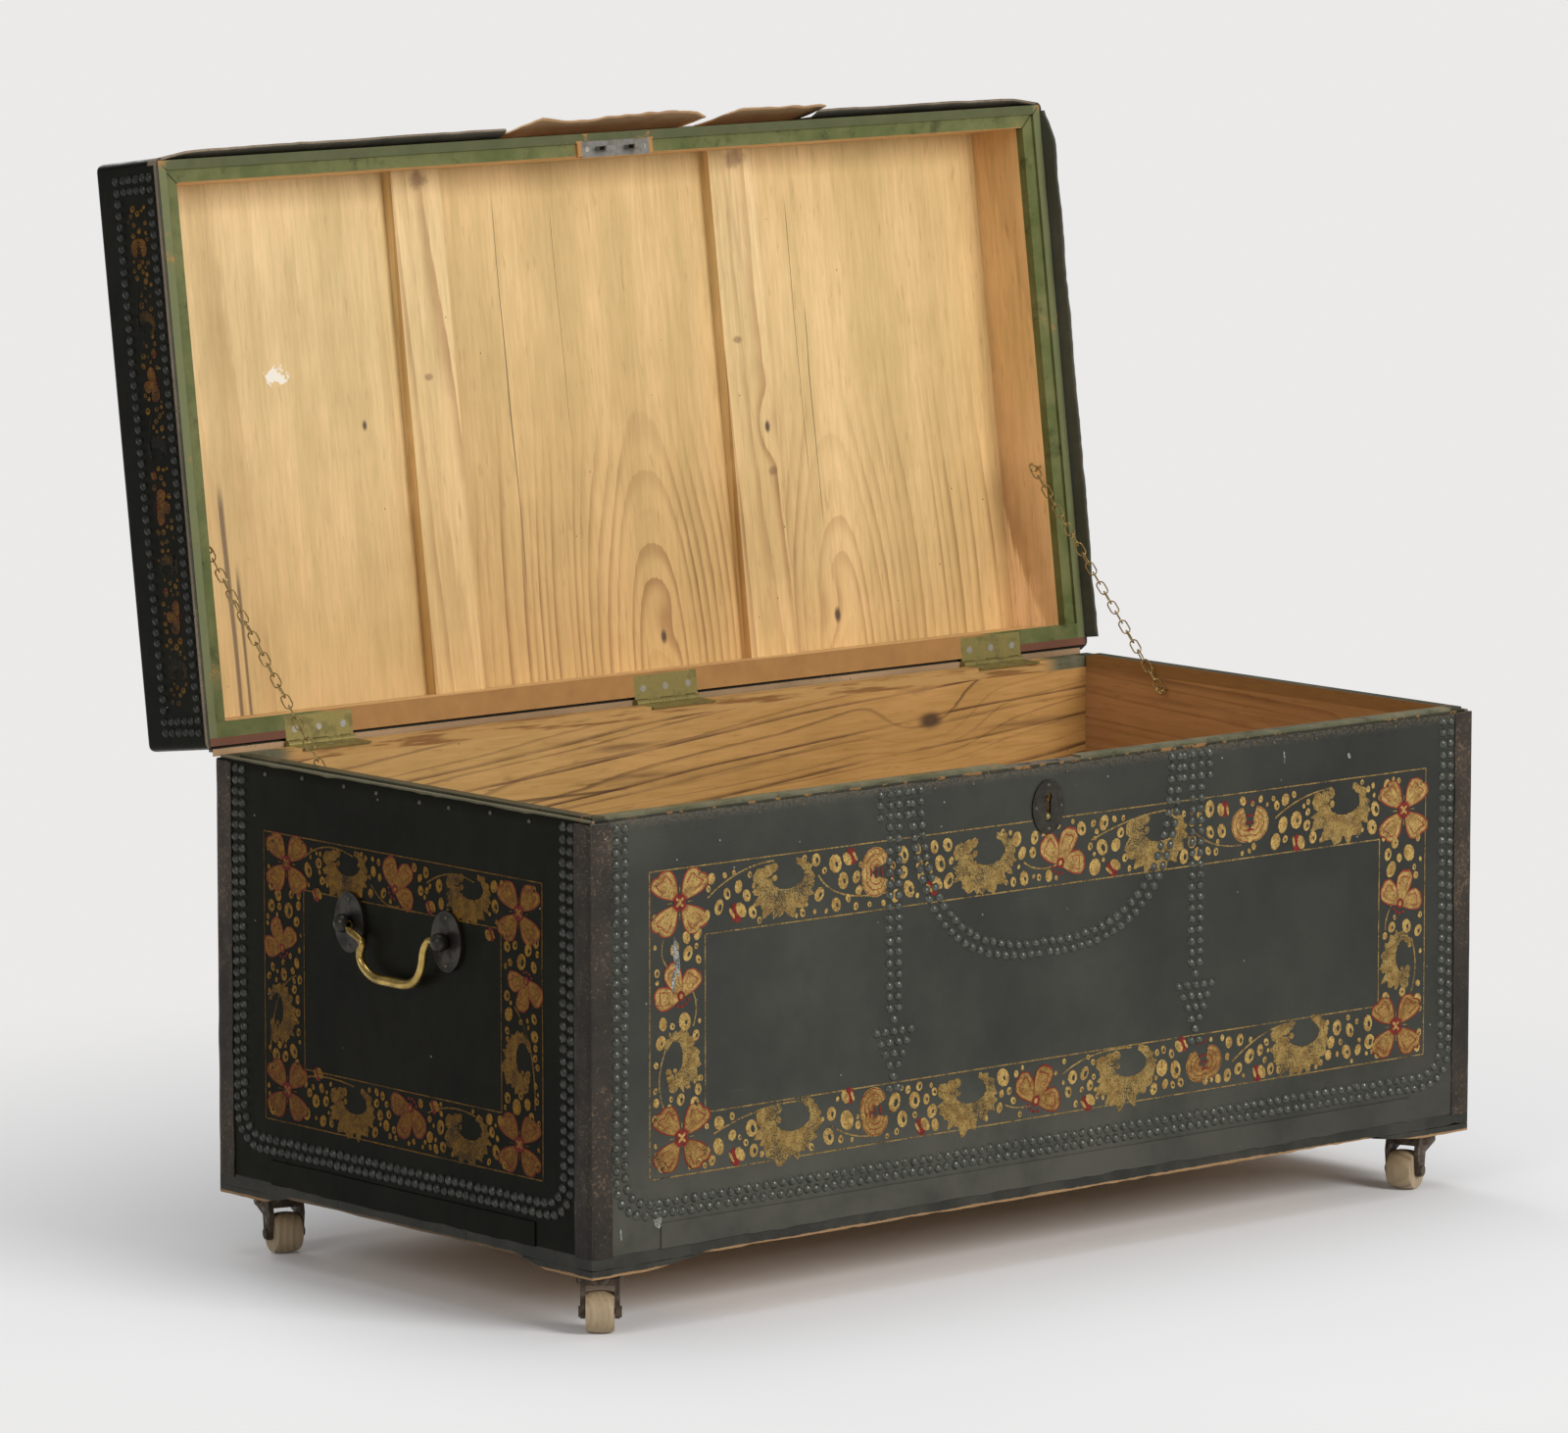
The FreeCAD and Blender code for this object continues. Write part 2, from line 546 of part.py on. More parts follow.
STRIKE_BACK = f"({SLOT_Y} + Sizes.selvage_deep / 2 - {HINGE_Y})"
lid_strips = []
for edge in ("front", "back", "left", "right"):
    body = new_body()
    pad(body, "XY_Plane", LID_RIM, mitred_strip(edge, lid_x_pair, lid_y_pair, lid_in_x_pair, lid_in_y_pair),
        ref("lid_strip_high"))
    if edge == "front":
        lock_low = "Sizes.lock_middle - Sizes.lock_wide / 2 + Sizes.lip_gap"
        lock_high = "Sizes.lock_middle + Sizes.lock_wide / 2 - Sizes.lip_gap"
        for low_x, high_x in ((f"-{LID_X}", lock_low), (lock_high, LID_X)):
            rabbet = rectangle(low_x, RABBET_FRONT, high_x, f"{LID_INSIDE_FRONT} + 1")
            pocket(body, "XY_Plane", f"{LID_RIM} + {RABBET_HIGH}", rabbet, f"{RABBET_HIGH} + 1")
        seat = rectangle(STRIKE_LEFT, STRIKE_FRONT, STRIKE_RIGHT, STRIKE_BACK)
        pocket(body, "XY_Plane", f"{LID_RIM} + Sizes.selvage_thick", seat, "Sizes.selvage_thick + 1")
    if edge == "left":
        rabbet = rectangle(f"-{RABBET_X}", RABBET_FRONT, f"-{LID_INSIDE_X} + 1", LID_INSIDE_BACK)
        pocket(body, "XY_Plane", f"{LID_RIM} + {RABBET_HIGH}", rabbet, f"{RABBET_HIGH} + 1")
    if edge == "right":
        rabbet = rectangle(f"{LID_INSIDE_X} - 1", RABBET_FRONT, RABBET_X, LID_INSIDE_BACK)
        pocket(body, "XY_Plane", f"{LID_RIM} + {RABBET_HIGH}", rabbet, f"{RABBET_HIGH} + 1")
    if edge == "back":
        for step in (-1, 0, 1):
            low_x = f"{step} * {HINGE_SPREAD} - Sizes.hinge_long / 2"
            high_x = f"{step} * {HINGE_SPREAD} + Sizes.hinge_long / 2"
            leaf = rectangle(low_x, "-Sizes.knuckle_radius - Sizes.leaf_clear - Sizes.leaf_wide", high_x,
                             f"{LID_WOOD_BACK} + 1")
            pocket(body, "XY_Plane", f"{LID_RIM} + Sizes.leaf_thick", leaf, "Sizes.leaf_thick + 1")
    lid_strips.append(body)
node(on_lid(group(lid_strips)), "lid_rim")

# Lid leather: a rounded cap over the boards and rails, cut away where the front leather has come loose.
cap = new_body()
cap_block = pad(cap, "XY_Plane", LID_RIM, rectangle(f"-{LID_X}", LID_FRONT, LID_X, LID_BACK), ref("lid_high"))
doc.recompute()
crown_edges = []
for number, edge in enumerate(cap_block.Shape.Edges, start=1):
    middle = edge.CenterOfMass
    upright = abs(edge.Vertexes[0].Z - edge.Vertexes[-1].Z) > 1
    high = middle.z > lid_rim + size("lid_high") - 1
    if upright or high:
        crown_edges.append(f"Edge{number}")
rounding = cap.newObject("PartDesign::Fillet", "Rounding")
rounding.Base = (cap_block, crown_edges)
rounding.setExpression("Radius", ref("crown_round"))
pocket(cap, "XY_Plane", LID_BOARD_TOP, rectangle(f"-{LID_WOOD_X}", LID_WOOD_FRONT, LID_WOOD_X, LID_WOOD_BACK),
       f"{LID_BOARD_TOP} - {LID_RIM} + 1")
loose = rectangle(ref("flap_left"), f"{LID_FRONT} - 1", ref("flap_right"), LID_WOOD_FRONT)
pocket(cap, "XY_Plane", f"{LID_RIM} + Sizes.flap_deep", loose, "Sizes.flap_deep + 1")
for step in (-1, 0, 1):
    low_x = f"{step} * {HINGE_SPREAD} - Sizes.hinge_long / 2 - Sizes.leaf_clear"
    high_x = f"{step} * {HINGE_SPREAD} + Sizes.hinge_long / 2 + Sizes.leaf_clear"
    notch = rectangle(low_x, LID_WOOD_BACK, high_x, f"{LID_BACK} + 1")
    pocket(cap, "XY_Plane", f"{LID_RIM} + Sizes.leaf_thick + 0.4", notch, "Sizes.leaf_thick + 1.4")
node(on_lid(cap), "lid_leather")

# The skirt of leather left on the lid's right end hangs past the rim.
skirt = new_body()
edge_out = LID_X
edge_in = f"{LID_X} - Sizes.skin_skirt_thick"
pad(skirt, "XY_Plane", f"{LID_RIM} - Sizes.skin_skirt_long",
    rectangle(edge_in, f"{LID_FRONT} + 8", edge_out, f"{LID_BACK} - 9"), ref("skin_skirt_long"))
node(on_lid(skirt), "lid_end_skirt")

# The loose front leather: a thin sheet that lifts away from the rail towards the rim, with a torn gap.
def lifted_sheet(start_x, stop_x, lift):
    """A thin sheet, flat where it is still held and lifted at the rim, least at its two ends."""
    rows = []
    for along in range(9):
        share = along / 8
        across_x = start_x + (stop_x - start_x) * share
        swell = lift * (0.25 + 0.75 * math.sin(math.pi * (0.08 + 0.84 * share)))
        line = []
        for step in range(6):
            down = step / 5
            up_z = lid_rim + size("flap_deep") * (1 - down) - 0.4 + 1.2 * down
            out_y = lid_front - swell * down ** 1.6
            line.append(vector(across_x, out_y, up_z))
        rows.append(line)
    surface = Part.BSplineSurface()
    surface.interpolate(rows)
    return surface.toShape().extrude(vector(0, size("skin_skirt_thick"), 0))


flap_span = size("flap_right") - size("flap_left")
tear = size("flap_left") + 0.634 * flap_span
left_sheet = lifted_sheet(size("flap_left") + 1, tear, size("flap_lift"))
right_sheet = lifted_sheet(tear + 0.07 * flap_span, size("flap_right") - 1, size("flap_lift") * 0.75)
node(on_lid(group([made(left_sheet), made(right_sheet)])), "lid_front_flap")

# Hinges: each leaf is a plate with its own knuckles round a shared pin.
KNUCKLES = 5
KNUCKLE_LONG = f"(Sizes.hinge_long / {KNUCKLES})"
LEAF_EDGE = "(-Sizes.knuckle_radius - Sizes.leaf_clear)"
SCREW_STEPS = (-1, 0, 1)
SCREW_Y = f"({LEAF_EDGE} - Sizes.leaf_wide * 0.45)"


def screw_place(step):
    """Where a hinge screw stands along its leaf."""
    return f"{step} * Sizes.hinge_long * 0.36"


def hinge_leaf(own, low_z):
    """A leaf in the hinge's own frame, its plate from low_z upwards, with the numbered knuckles."""
    half = "Sizes.hinge_long / 2"
    high_z = f"{low_z} + Sizes.leaf_thick"
    parts = [box((f"-{half}", f"{LEAF_EDGE} - Sizes.leaf_wide", low_z), (half, LEAF_EDGE, high_z))]
    for number in own:
        start = f"({number} * {KNUCKLE_LONG} - {half} + Sizes.knuckle_gap / 2)"
        stop = f"(({number} + 1) * {KNUCKLE_LONG} - {half} - Sizes.knuckle_gap / 2)"
        parts.append(cylinder(ref("knuckle_radius"), f"{stop} - {start}", (start, "0", "0"), (0, 1, 0), "90"))
        parts.append(box((start, f"{LEAF_EDGE} - 1", low_z), (stop, "-Sizes.hinge_pin_radius", high_z)))
    bore = cylinder("Sizes.hinge_pin_radius + Sizes.run_gap", "Sizes.hinge_long + 2",
                    (f"-{half} - 1", "0", "0"), (0, 1, 0), "90")
    return parts, bore


def screw(base, downwards):
    """A countersunk wood screw at base, its head flush with the leaf, driven down or up."""
    way = -1 if downwards else 1
    turn = "180" if downwards else "0"
    head = cone(ref("screw_head_radius"), ref("screw_radius"), ref("leaf_thick"), base, (1, 0, 0), turn)
    x, y, z = base
    shank_base = (x, y, f"{z} + {way} * Sizes.leaf_thick")
    shank = cylinder(ref("screw_radius"), ref("screw_long"), shank_base, (1, 0, 0), turn)
    return fuse([head, shank])


base_leaves = []
base_screws = []
lid_leaves = []
lid_screws = []
hinge_pins = []
BASE_PLATE_LOW = "(-Sizes.rim_gap / 2 - Sizes.leaf_thick)"
LID_PLATE_LOW = "(Sizes.rim_gap / 2)"
for step in (-1, 0, 1):
    middle_x = f"{step} * {HINGE_SPREAD}"
    parts, bore = hinge_leaf((0, 2, 4), BASE_PLATE_LOW)
    leaf = cut(fuse(parts), bore)
    holes = []
    for number in SCREW_STEPS:
        holes.append(screw((screw_place(number), SCREW_Y, "-Sizes.rim_gap / 2"), True))
    drilled = cut(leaf, fuse(holes))
    base_leaves.append(place(drilled, (middle_x, HINGE_Y, HINGE_Z)))
    parts, bore = hinge_leaf((1, 3), LID_PLATE_LOW)
    leaf = cut(fuse(parts), bore)
    holes = []
    for number in SCREW_STEPS:
        holes.append(screw((screw_place(number), SCREW_Y, LID_RIM), False))
    drilled = cut(leaf, fuse(holes))
    lid_leaves.append(place(drilled, (middle_x, "0", "0")))
    for number in SCREW_STEPS:
        at_x = f"{middle_x} + {screw_place(number)}"
        base_screws.append(screw((at_x, f"{HINGE_Y} + {SCREW_Y}", f"{HINGE_Z} - Sizes.rim_gap / 2"), True))
        lid_screws.append(screw((at_x, SCREW_Y, LID_RIM), False))
    half = "Sizes.hinge_long / 2"
    hinge_pins.append(cylinder(ref("hinge_pin_radius"), ref("hinge_long"),
                               (f"{middle_x} - {half}", HINGE_Y, HINGE_Z), (0, 1, 0), "90"))
node(group(base_leaves), "hinge_base_leaves")
node(group(base_screws), "hinge_base_screws")
node(group(hinge_pins), "hinge_pins")
node(on_lid(group(lid_leaves)), "hinge_lid_leaves")

# Lock: a case let into the front board, a slotted selvage plate over it, and a bolt that slides inside.
CASE_FRONT = f"({FRONT_INSIDE} - Sizes.case_deep)"
case_block = box((LOCK_LEFT, CASE_FRONT, CASE_LOW), (LOCK_RIGHT, FRONT_INSIDE, CASE_TOP))
hollow = box((f"{LOCK_LEFT} + Sizes.case_wall", f"{FRONT_INSIDE} - Sizes.case_deep + Sizes.case_wall",
              f"{CASE_LOW} + Sizes.case_wall"),
             (f"{LOCK_RIGHT} - Sizes.case_wall", f"{FRONT_INSIDE} - Sizes.case_wall", f"{CASE_TOP} + 1"))
case_hole = keyhole(f"-{HALF_Y} - 1", f"{FRONT_INSIDE} - Sizes.case_deep / 2")
case = cut(cut(case_block, hollow), case_hole)
key_pin = cylinder("1.7", "Sizes.case_deep - 2 * Sizes.case_wall",
                   (KEY_X, f"{FRONT_INSIDE} - Sizes.case_deep + Sizes.case_wall",
                    f"{KEY_Z} - Sizes.keyhole_high / 2 + 2.2"), (-1, 0, 0), "90")
node(group([case, key_pin]), "lock_case")

plate = box((STRIKE_LEFT, f"{FRONT_INSIDE} - Sizes.selvage_deep", f"{LEDGE} - Sizes.selvage_thick"),
            (STRIKE_RIGHT, FRONT_INSIDE, LEDGE))
slots = []
for side in (-1, 1):
    low_x = f"Sizes.lock_middle + {side} * Sizes.staple_spread - Sizes.staple_wide / 2 - Sizes.staple_gap"
    high_x = f"Sizes.lock_middle + {side} * Sizes.staple_spread + Sizes.staple_wide / 2 + Sizes.staple_gap"
    slot_half = "(Sizes.staple_thick / 2 + Sizes.staple_gap)"
    slots.append(box((low_x, f"{SLOT_Y} - {slot_half}", f"{LEDGE} - Sizes.selvage_thick - 1"),
                     (high_x, f"{SLOT_Y} + {slot_half}", f"{LEDGE} + 1")))
node(cut(plate, fuse(slots)), "lock_selvage")

# Strike plate on the lid's front rim, with two staples that drop through the slots when the lid is shut.
STRIKE_LOW = LID_RIM
STRIKE_HIGH = f"({STRIKE_LOW} + Sizes.selvage_thick)"
strike = [box((STRIKE_LEFT, STRIKE_FRONT, STRIKE_LOW), (STRIKE_RIGHT, STRIKE_BACK, STRIKE_HIGH))]
STAPLE_LOW = f"({LID_RIM} - Sizes.staple_high)"
WINDOW_LOW = f"({STAPLE_LOW} + 2.5)"
WINDOW_HIGH = f"({STAPLE_LOW} + 9)"
windows = []
for side in (-1, 1):
    middle = f"Sizes.lock_middle + {side} * Sizes.staple_spread"
    low_x = f"{middle} - Sizes.staple_wide / 2"
    high_x = f"{middle} + Sizes.staple_wide / 2"
    front_y = f"{SLOT_Y} - {HINGE_Y} - Sizes.staple_thick / 2"
    back_y = f"{SLOT_Y} - {HINGE_Y} + Sizes.staple_thick / 2"
    strike.append(box((low_x, front_y, STAPLE_LOW), (high_x, back_y, f"{STRIKE_LOW} + 0.5")))
    windows.append(box((f"{low_x} - 1", f"{front_y} + 0.5", WINDOW_LOW),
                       (f"{high_x} - 2.5", f"{back_y} - 0.5", WINDOW_HIGH)))
node(on_lid(cut(fuse(strike), fuse(windows))), "strike_plate")

# Lock bolt: a bar low in the case with two fingers that slide into the staples' windows.
FINGER_LOW = f"({HINGE_Z} + {WINDOW_LOW} + 1)"
FINGER_HIGH = f"({HINGE_Z} + {WINDOW_HIGH} - 1.5)"
BOLT_FRONT = f"({SLOT_Y} - Sizes.bolt_thick / 2)"
BOLT_BACK = f"({SLOT_Y} + Sizes.bolt_thick / 2)"
BAR_LOW = f"({FINGER_LOW} - 9)"
BAR_HIGH = f"({FINGER_LOW} - 5)"
BAR_FRONT = f"({FRONT_INSIDE} - Sizes.case_deep + Sizes.case_wall + Sizes.bolt_gap)"
BAR_BACK = f"({FRONT_INSIDE} - Sizes.case_wall - Sizes.bolt_gap)"
POST_WIDE = 3
bolt = []
for side in (-1, 1):
    tip = f"(Sizes.lock_middle + {side} * Sizes.staple_spread - Sizes.staple_wide / 2 - Sizes.finger_gap)"
    post_right = f"({tip} - Sizes.finger_long)"
    post_left = f"({post_right} - {POST_WIDE})"
    bolt.append(box((post_left, BOLT_FRONT, f"{BAR_HIGH} - 1"), (post_right, BOLT_BACK, FINGER_HIGH)))
    bolt.append(box((post_left, BOLT_FRONT, FINGER_LOW), (tip, BOLT_BACK, FINGER_HIGH)))
    if side < 0:
        bar_left = post_left
    else:
        bolt.append(box((bar_left, BAR_FRONT, BAR_LOW), (post_right, BAR_BACK, BAR_HIGH)))
node(fuse(bolt), "lock_bolt")

# Escutcheon: an oval plate with the keyhole, and its four pins.
def oval_plate(major, minor, thick):
    """An upright oval plate facing -Y, drawn about the origin from y = 0 forwards."""
    ring = doc.addObject("Part::Ellipse", "Oval")
    ring.setExpression("MajorRadius", major)
    ring.setExpression("MinorRadius", minor)
    upright = FreeCAD.Rotation(vector(1, 0, 0), 90.0).multiply(FreeCAD.Rotation(vector(0, 0, 1), 90.0))
    ring.Placement = FreeCAD.Placement(vector(0, 0, 0), upright)
    sheet_out = doc.addObject("Part::Extrusion", "Plate")
    sheet_out.Base = ring
    sheet_out.DirMode = "Custom"
    sheet_out.Dir = vector(0, -1, 0)
    sheet_out.Solid = True
    sheet_out.setExpression("LengthFwd", thick)
    return sheet_out


shield = oval_plate(ref("plate_major"), ref("plate_minor"), ref("plate_thick"))
place(shield, (KEY_X, f"-{HALF_Y}", KEY_Z))
shield_hole = keyhole(f"-{HALF_Y} - Sizes.plate_thick - 1", FRONT_INSIDE)
node(cut(shield, shield_hole), "escutcheon")


def pin_head(radius):
    """A small domed pin head standing on z = 0, with a short shank below it."""
    dome_high = radius * 0.7
    ball = (radius ** 2 + dome_high ** 2) / (2 * dome_high)
    dome = Part.makeSphere(ball, vector(0, 0, dome_high - ball))
    keep = Part.makeCylinder(radius + 1, dome_high + 1)
    shank = Part.makeCylinder(radius * 0.4, 8, vector(0, 0, -8))
    return dome.common(keep).fuse(shank).removeSplitter()


def stand(shape, place_at, facing):
    """A copy of a shape that stands on z = 0, set on a face that looks along the given way."""
    turn = FreeCAD.Rotation(vector(0, 0, 1), vector(*facing))
    copy = shape.copy()
    copy.Placement = FreeCAD.Placement(vector(*place_at), turn)
    return copy


pin_shape = pin_head(size("nail_radius"))
pins = []
key_z = ledge - size("keyhole_down")
for side, up in ((0, 0.8), (0, -0.8), (0.8, 0), (-0.8, 0)):
    at = (size("lock_middle") + side * size("plate_minor"), -half_y - size("plate_thick"),
          key_z + up * size("plate_major"))
    pins.append(stand(pin_shape, at, (0, -1, 0)))
handle_z = size("stand_high") + size("handle_up")
for side in (-1, 1):
    for end in (-1, 1):
        for up in (-0.78, 0.78):
            at = (side * (half_x + size("handle_plate_thick")), end * size("handle_spread"),
                  handle_z + up * size("handle_plate_major"))
            pins.append(stand(pin_shape, at, (side, 0, 0)))
node(made(Part.makeCompound(pins)), "brass_pins")

# Handles: two oval plates with bosses on each end, and a bail whose pins turn in the bosses.
BOSS_SOCKET = "(Sizes.bail_pin_radius + Sizes.run_gap)"
HANDLE_Z = "(Sizes.stand_high + Sizes.handle_up)"
for side, label in ((-1, "left_handle_plates"), (1, "right_handle_plates")):
    plates = []
    for end in (-1, 1):
        oval = oval_plate(ref("handle_plate_major"), ref("handle_plate_minor"), ref("handle_plate_thick"))
        ball = doc.addObject("Part::Sphere", "Boss")
        ball.setExpression("Radius", ref("boss_radius"))
        place(ball, ("0", "-Sizes.boss_out", "0"))
        inward = -side * end
        socket_start = "-Sizes.bail_pin_long + Sizes.boss_radius - 0.5"
        long = "Sizes.boss_radius + 4"
        start = f"{socket_start}" if inward > 0 else f"-({socket_start}) - ({long})"
        socket = cylinder(BOSS_SOCKET, long, (start, "-Sizes.boss_out", "0"), (0, 1, 0), "90")
        whole = cut(fuse([oval, ball]), socket)
        turn = "-90" if side < 0 else "90"
        place(whole, (f"{side} * {HALF_X}", f"{end} * Sizes.handle_spread", HANDLE_Z), (0, 0, 1), turn)
        plates.append(whole)
    node(group(plates), label)


def bail_shape():
    """A drooping bar in the YZ plane through the origin: pins at both ends, thickest in the middle."""
    reach = size("handle_spread") - size("boss_radius") - 0.6
    drop = size("bail_drop")
    thin = size("bail_radius")
    thick = size("bail_middle_radius")
    stations = [
        (-reach, 0.0), (-reach + 6, -1.0), (-reach + 12, -0.22 * drop), (-reach + 15, -0.55 * drop),
        (-reach + 24, -0.88 * drop), (0.0, -drop), (reach - 24, -0.88 * drop), (reach - 15, -0.55 * drop),
        (reach - 12, -0.22 * drop), (reach - 6, -1.0), (reach, 0.0),
    ]
    curve = Part.BSplineCurve()
    curve.interpolate([vector(0, across, up) for across, up in stations], InitialTangent=vector(0, 1, 0),
                      FinalTangent=vector(0, 1, 0))
    first, last = curve.FirstParameter, curve.LastParameter
    rings = []
    for number in range(21):
        share = number / 20
        at = first + (last - first) * share
        swell = math.sin(math.pi * share) ** 4
        radius = thin + (thick - thin) * swell
        rings.append(Part.Wire(Part.makeCircle(radius, curve.value(at), vector(*curve.tangent(at)[0]))))
    bar = Part.makeLoft(rings, True, False)
    pieces = [bar]
    long = size("bail_pin_long") + 0.6
    for end in (-1, 1):
        pin_start = vector(0, end * (reach - 2), 0)
        pieces.append(Part.makeCylinder(size("bail_pin_radius"), long + 2, pin_start, vector(0, end, 0)))
    whole = pieces[0].fuse(pieces[1:])
    return whole.removeSplitter()


bail = bail_shape()
for side, label in ((-1, "left_bail"), (1, "right_bail")):
    item = made(bail.copy())
    node(place(item, (f"{side} * ({HALF_X} + Sizes.boss_out)", "0", HANDLE_Z)), label)

# Casters: a plate with its king pin under each corner block, a swivelling fork with its axle, and a wheel.
PLATE_LOW = "(Sizes.stand_high - Sizes.caster_plate_thick)"
FORK_TOP = f"({PLATE_LOW} - Sizes.fork_gap)"
FORK_LOW = f"({FORK_TOP} - Sizes.fork_top_thick)"
FORK_HALF = "(Sizes.wheel_wide / 2 + Sizes.wheel_side_gap + Sizes.fork_leg_thick)"
LEG_INSIDE = "(Sizes.wheel_wide / 2 + Sizes.wheel_side_gap)"
AXLE_Z = "Sizes.wheel_radius"
caster_rows = [
    ("front_left", -1, -1), ("front_right", 1, -1), ("back_left", -1, 1), ("back_right", 1, 1),
]
caster_plates = []
caster_screws = []
for name, side, end in caster_rows:
    king_x = f"({side} * ({HALF_X} - Sizes.caster_inset_x))"
    king_y = f"({end} * ({HALF_Y} - Sizes.caster_inset_y))"
    disc = cylinder(ref("caster_plate_radius"), ref("caster_plate_thick"), ("0", "0", PLATE_LOW))
    stem = cylinder(ref("king_radius"), f"{PLATE_LOW} - {FORK_LOW} + 1.5", ("0", "0", f"{FORK_LOW} - 0.5"))
    head_low = f"{FORK_LOW} - 0.4 - Sizes.king_head_high"
    head = cylinder(ref("king_head_radius"), ref("king_head_high"), ("0", "0", head_low))
    whole = fuse([disc, stem, head])
    caster_plates.append(place(whole, (king_x, king_y, "0")))
    for quarter in range(3):
        angle = math.radians(120 * quarter + 45)
        at_x = f"{king_x} + {math.cos(angle):.5f} * Sizes.caster_plate_radius * 0.76"
        at_y = f"{king_y} + {math.sin(angle):.5f} * Sizes.caster_plate_radius * 0.76"
        button = cylinder("2.6", "0.9", (at_x, at_y, f"{PLATE_LOW} - 0.9"))
        shank = cylinder("1.4", "14", (at_x, at_y, f"{PLATE_LOW} - 0.5"))
        caster_screws.append(fuse([button, shank]))
    fork = new_body()
    leg_top = f"({FORK_LOW})"
    side_view = [
        ("-15", FORK_TOP), ("-15", FORK_LOW), ("Sizes.caster_trail - 8", f"{FORK_LOW} - 7"),
        ("Sizes.caster_trail - 5.2", f"{AXLE_Z} - 3"), ("Sizes.caster_trail - 2.6", f"{AXLE_Z} - 5.4"),
        ("Sizes.caster_trail + 2.6", f"{AXLE_Z} - 5.4"), ("Sizes.caster_trail + 5.2", f"{AXLE_Z} - 3"),
        ("Sizes.caster_trail + 8", f"{FORK_LOW} - 5"), ("Sizes.caster_trail + 5", FORK_TOP),
    ]
    pad(fork, "XZ_Plane", f"-{FORK_HALF}", side_view, f"2 * {FORK_HALF}")
    gap = rectangle(f"-{LEG_INSIDE}", "-1", LEG_INSIDE, FORK_LOW)
    pocket(fork, "YZ_Plane", "80", gap, "160")
    hole = cylinder("Sizes.king_radius + Sizes.run_gap", f"{FORK_TOP} + 2", ("0", "0", "-1"))
    axle_hole = cylinder(ref("axle_radius"), f"2 * {FORK_HALF} + 2",
                         (ref("caster_trail"), f"-{FORK_HALF} - 1", AXLE_Z), (-1, 0, 0), "90")
    crown = cylinder(ref("fork_crown_radius"), ref("fork_top_thick"), ("0", "0", FORK_LOW))
    bored = cut(cut(fuse([fork, crown]), hole), axle_hole)
    axle_start = (ref("caster_trail"), f"-{FORK_HALF}", AXLE_Z)
    axle = [cylinder(ref("axle_radius"), f"2 * {FORK_HALF}", axle_start, (-1, 0, 0), "90")]
    for way in (-1, 1):
        start = f"-{FORK_HALF} - Sizes.axle_head_high" if way < 0 else FORK_HALF
        head_base = (ref("caster_trail"), start, AXLE_Z)
        axle.append(cylinder(ref("axle_head_radius"), ref("axle_head_high"), head_base, (-1, 0, 0), "90"))
    whole = group([bored, fuse(axle)])
    node(place(whole, (king_x, king_y, "0"), (0, 0, 1), ref(f"swivel_{name}")), f"caster_fork_{name}")
    egg = doc.addObject("Part::Ellipsoid", "Tread")
    egg.setExpression("Radius1", ref("wheel_crown"))
    egg.setExpression("Radius2", ref("wheel_radius"))
    egg.setExpression("Radius3", ref("wheel_radius"))
    place(egg, (ref("caster_trail"), "0", AXLE_Z), (1, 0, 0), "90")
    slab = box(("-60", "-Sizes.wheel_wide / 2", "-60"), ("90", "Sizes.wheel_wide / 2", "90"))
    tread = doc.addObject("Part::Common", "Wheel")
    tread.Base = egg
    tread.Tool = slab
    bore = cylinder("Sizes.axle_radius + Sizes.run_gap", "Sizes.wheel_wide + 2",
                    (ref("caster_trail"), "-Sizes.wheel_wide / 2 - 1", AXLE_Z), (-1, 0, 0), "90")
    wheel = cut(tread, bore)
    node(place(wheel, (king_x, king_y, "0"), (0, 0, 1), ref(f"swivel_{name}")), f"caster_wheel_{name}")
node(group(caster_plates), "caster_plates")
node(group(caster_screws), "caster_screws")

# Strike plate screws join the lid's hinge screws.
for side in (-1, 1):
    at_x = f"Sizes.lock_middle + {side} * Sizes.selvage_wide * 0.42"
    at_y = f"({STRIKE_FRONT} + {STRIKE_BACK}) / 2"
    button = cylinder("2.4", "0.8", (at_x, at_y, f"{STRIKE_LOW} - 0.3"))
    shank = cylinder("1.4", "12", (at_x, at_y, f"{STRIKE_LOW} - 0.1"))
    lid_screws.append(fuse([button, shank]))
node(on_lid(group(lid_screws)), "lid_screws")

# Stay chains: oval wire links, each a quarter turn from the last with a slow twist, between two eyes.
def chain_link(length):
    """One link along Z about the origin, in the XZ plane; length runs middle to middle of the wire."""
    wire = size("link_wire")
    wide = size("link_wide")
    straight = length / 2 - wide
    top = Part.Arc(vector(wide, 0, straight), vector(0, 0, straight + wide), vector(-wide, 0, straight))
    low = Part.Arc(vector(-wide, 0, -straight), vector(0, 0, -straight - wide), vector(wide, 0, -straight))
    left = Part.LineSegment(vector(-wide, 0, straight), vector(-wide, 0, -straight))
    right = Part.LineSegment(vector(wide, 0, -straight), vector(wide, 0, straight))
    path = Part.Wire([top.toShape(), left.toShape(), low.toShape(), right.toShape()])
    ring = Part.Wire(Part.makeCircle(wire, vector(wide, 0, straight), vector(0, 0, 1)))
    return path.makePipeShell([ring], True, False)


lean = math.radians(size("lid_open"))


def open_lid(x, y, z):
    """Where a point of the shut lid's frame stands when the lid is open."""
    back = hinge_y + y * math.cos(lean) + z * math.sin(lean)
    up = hinge_z - y * math.sin(lean) + z * math.cos(lean)
    return vector(x, back, up)


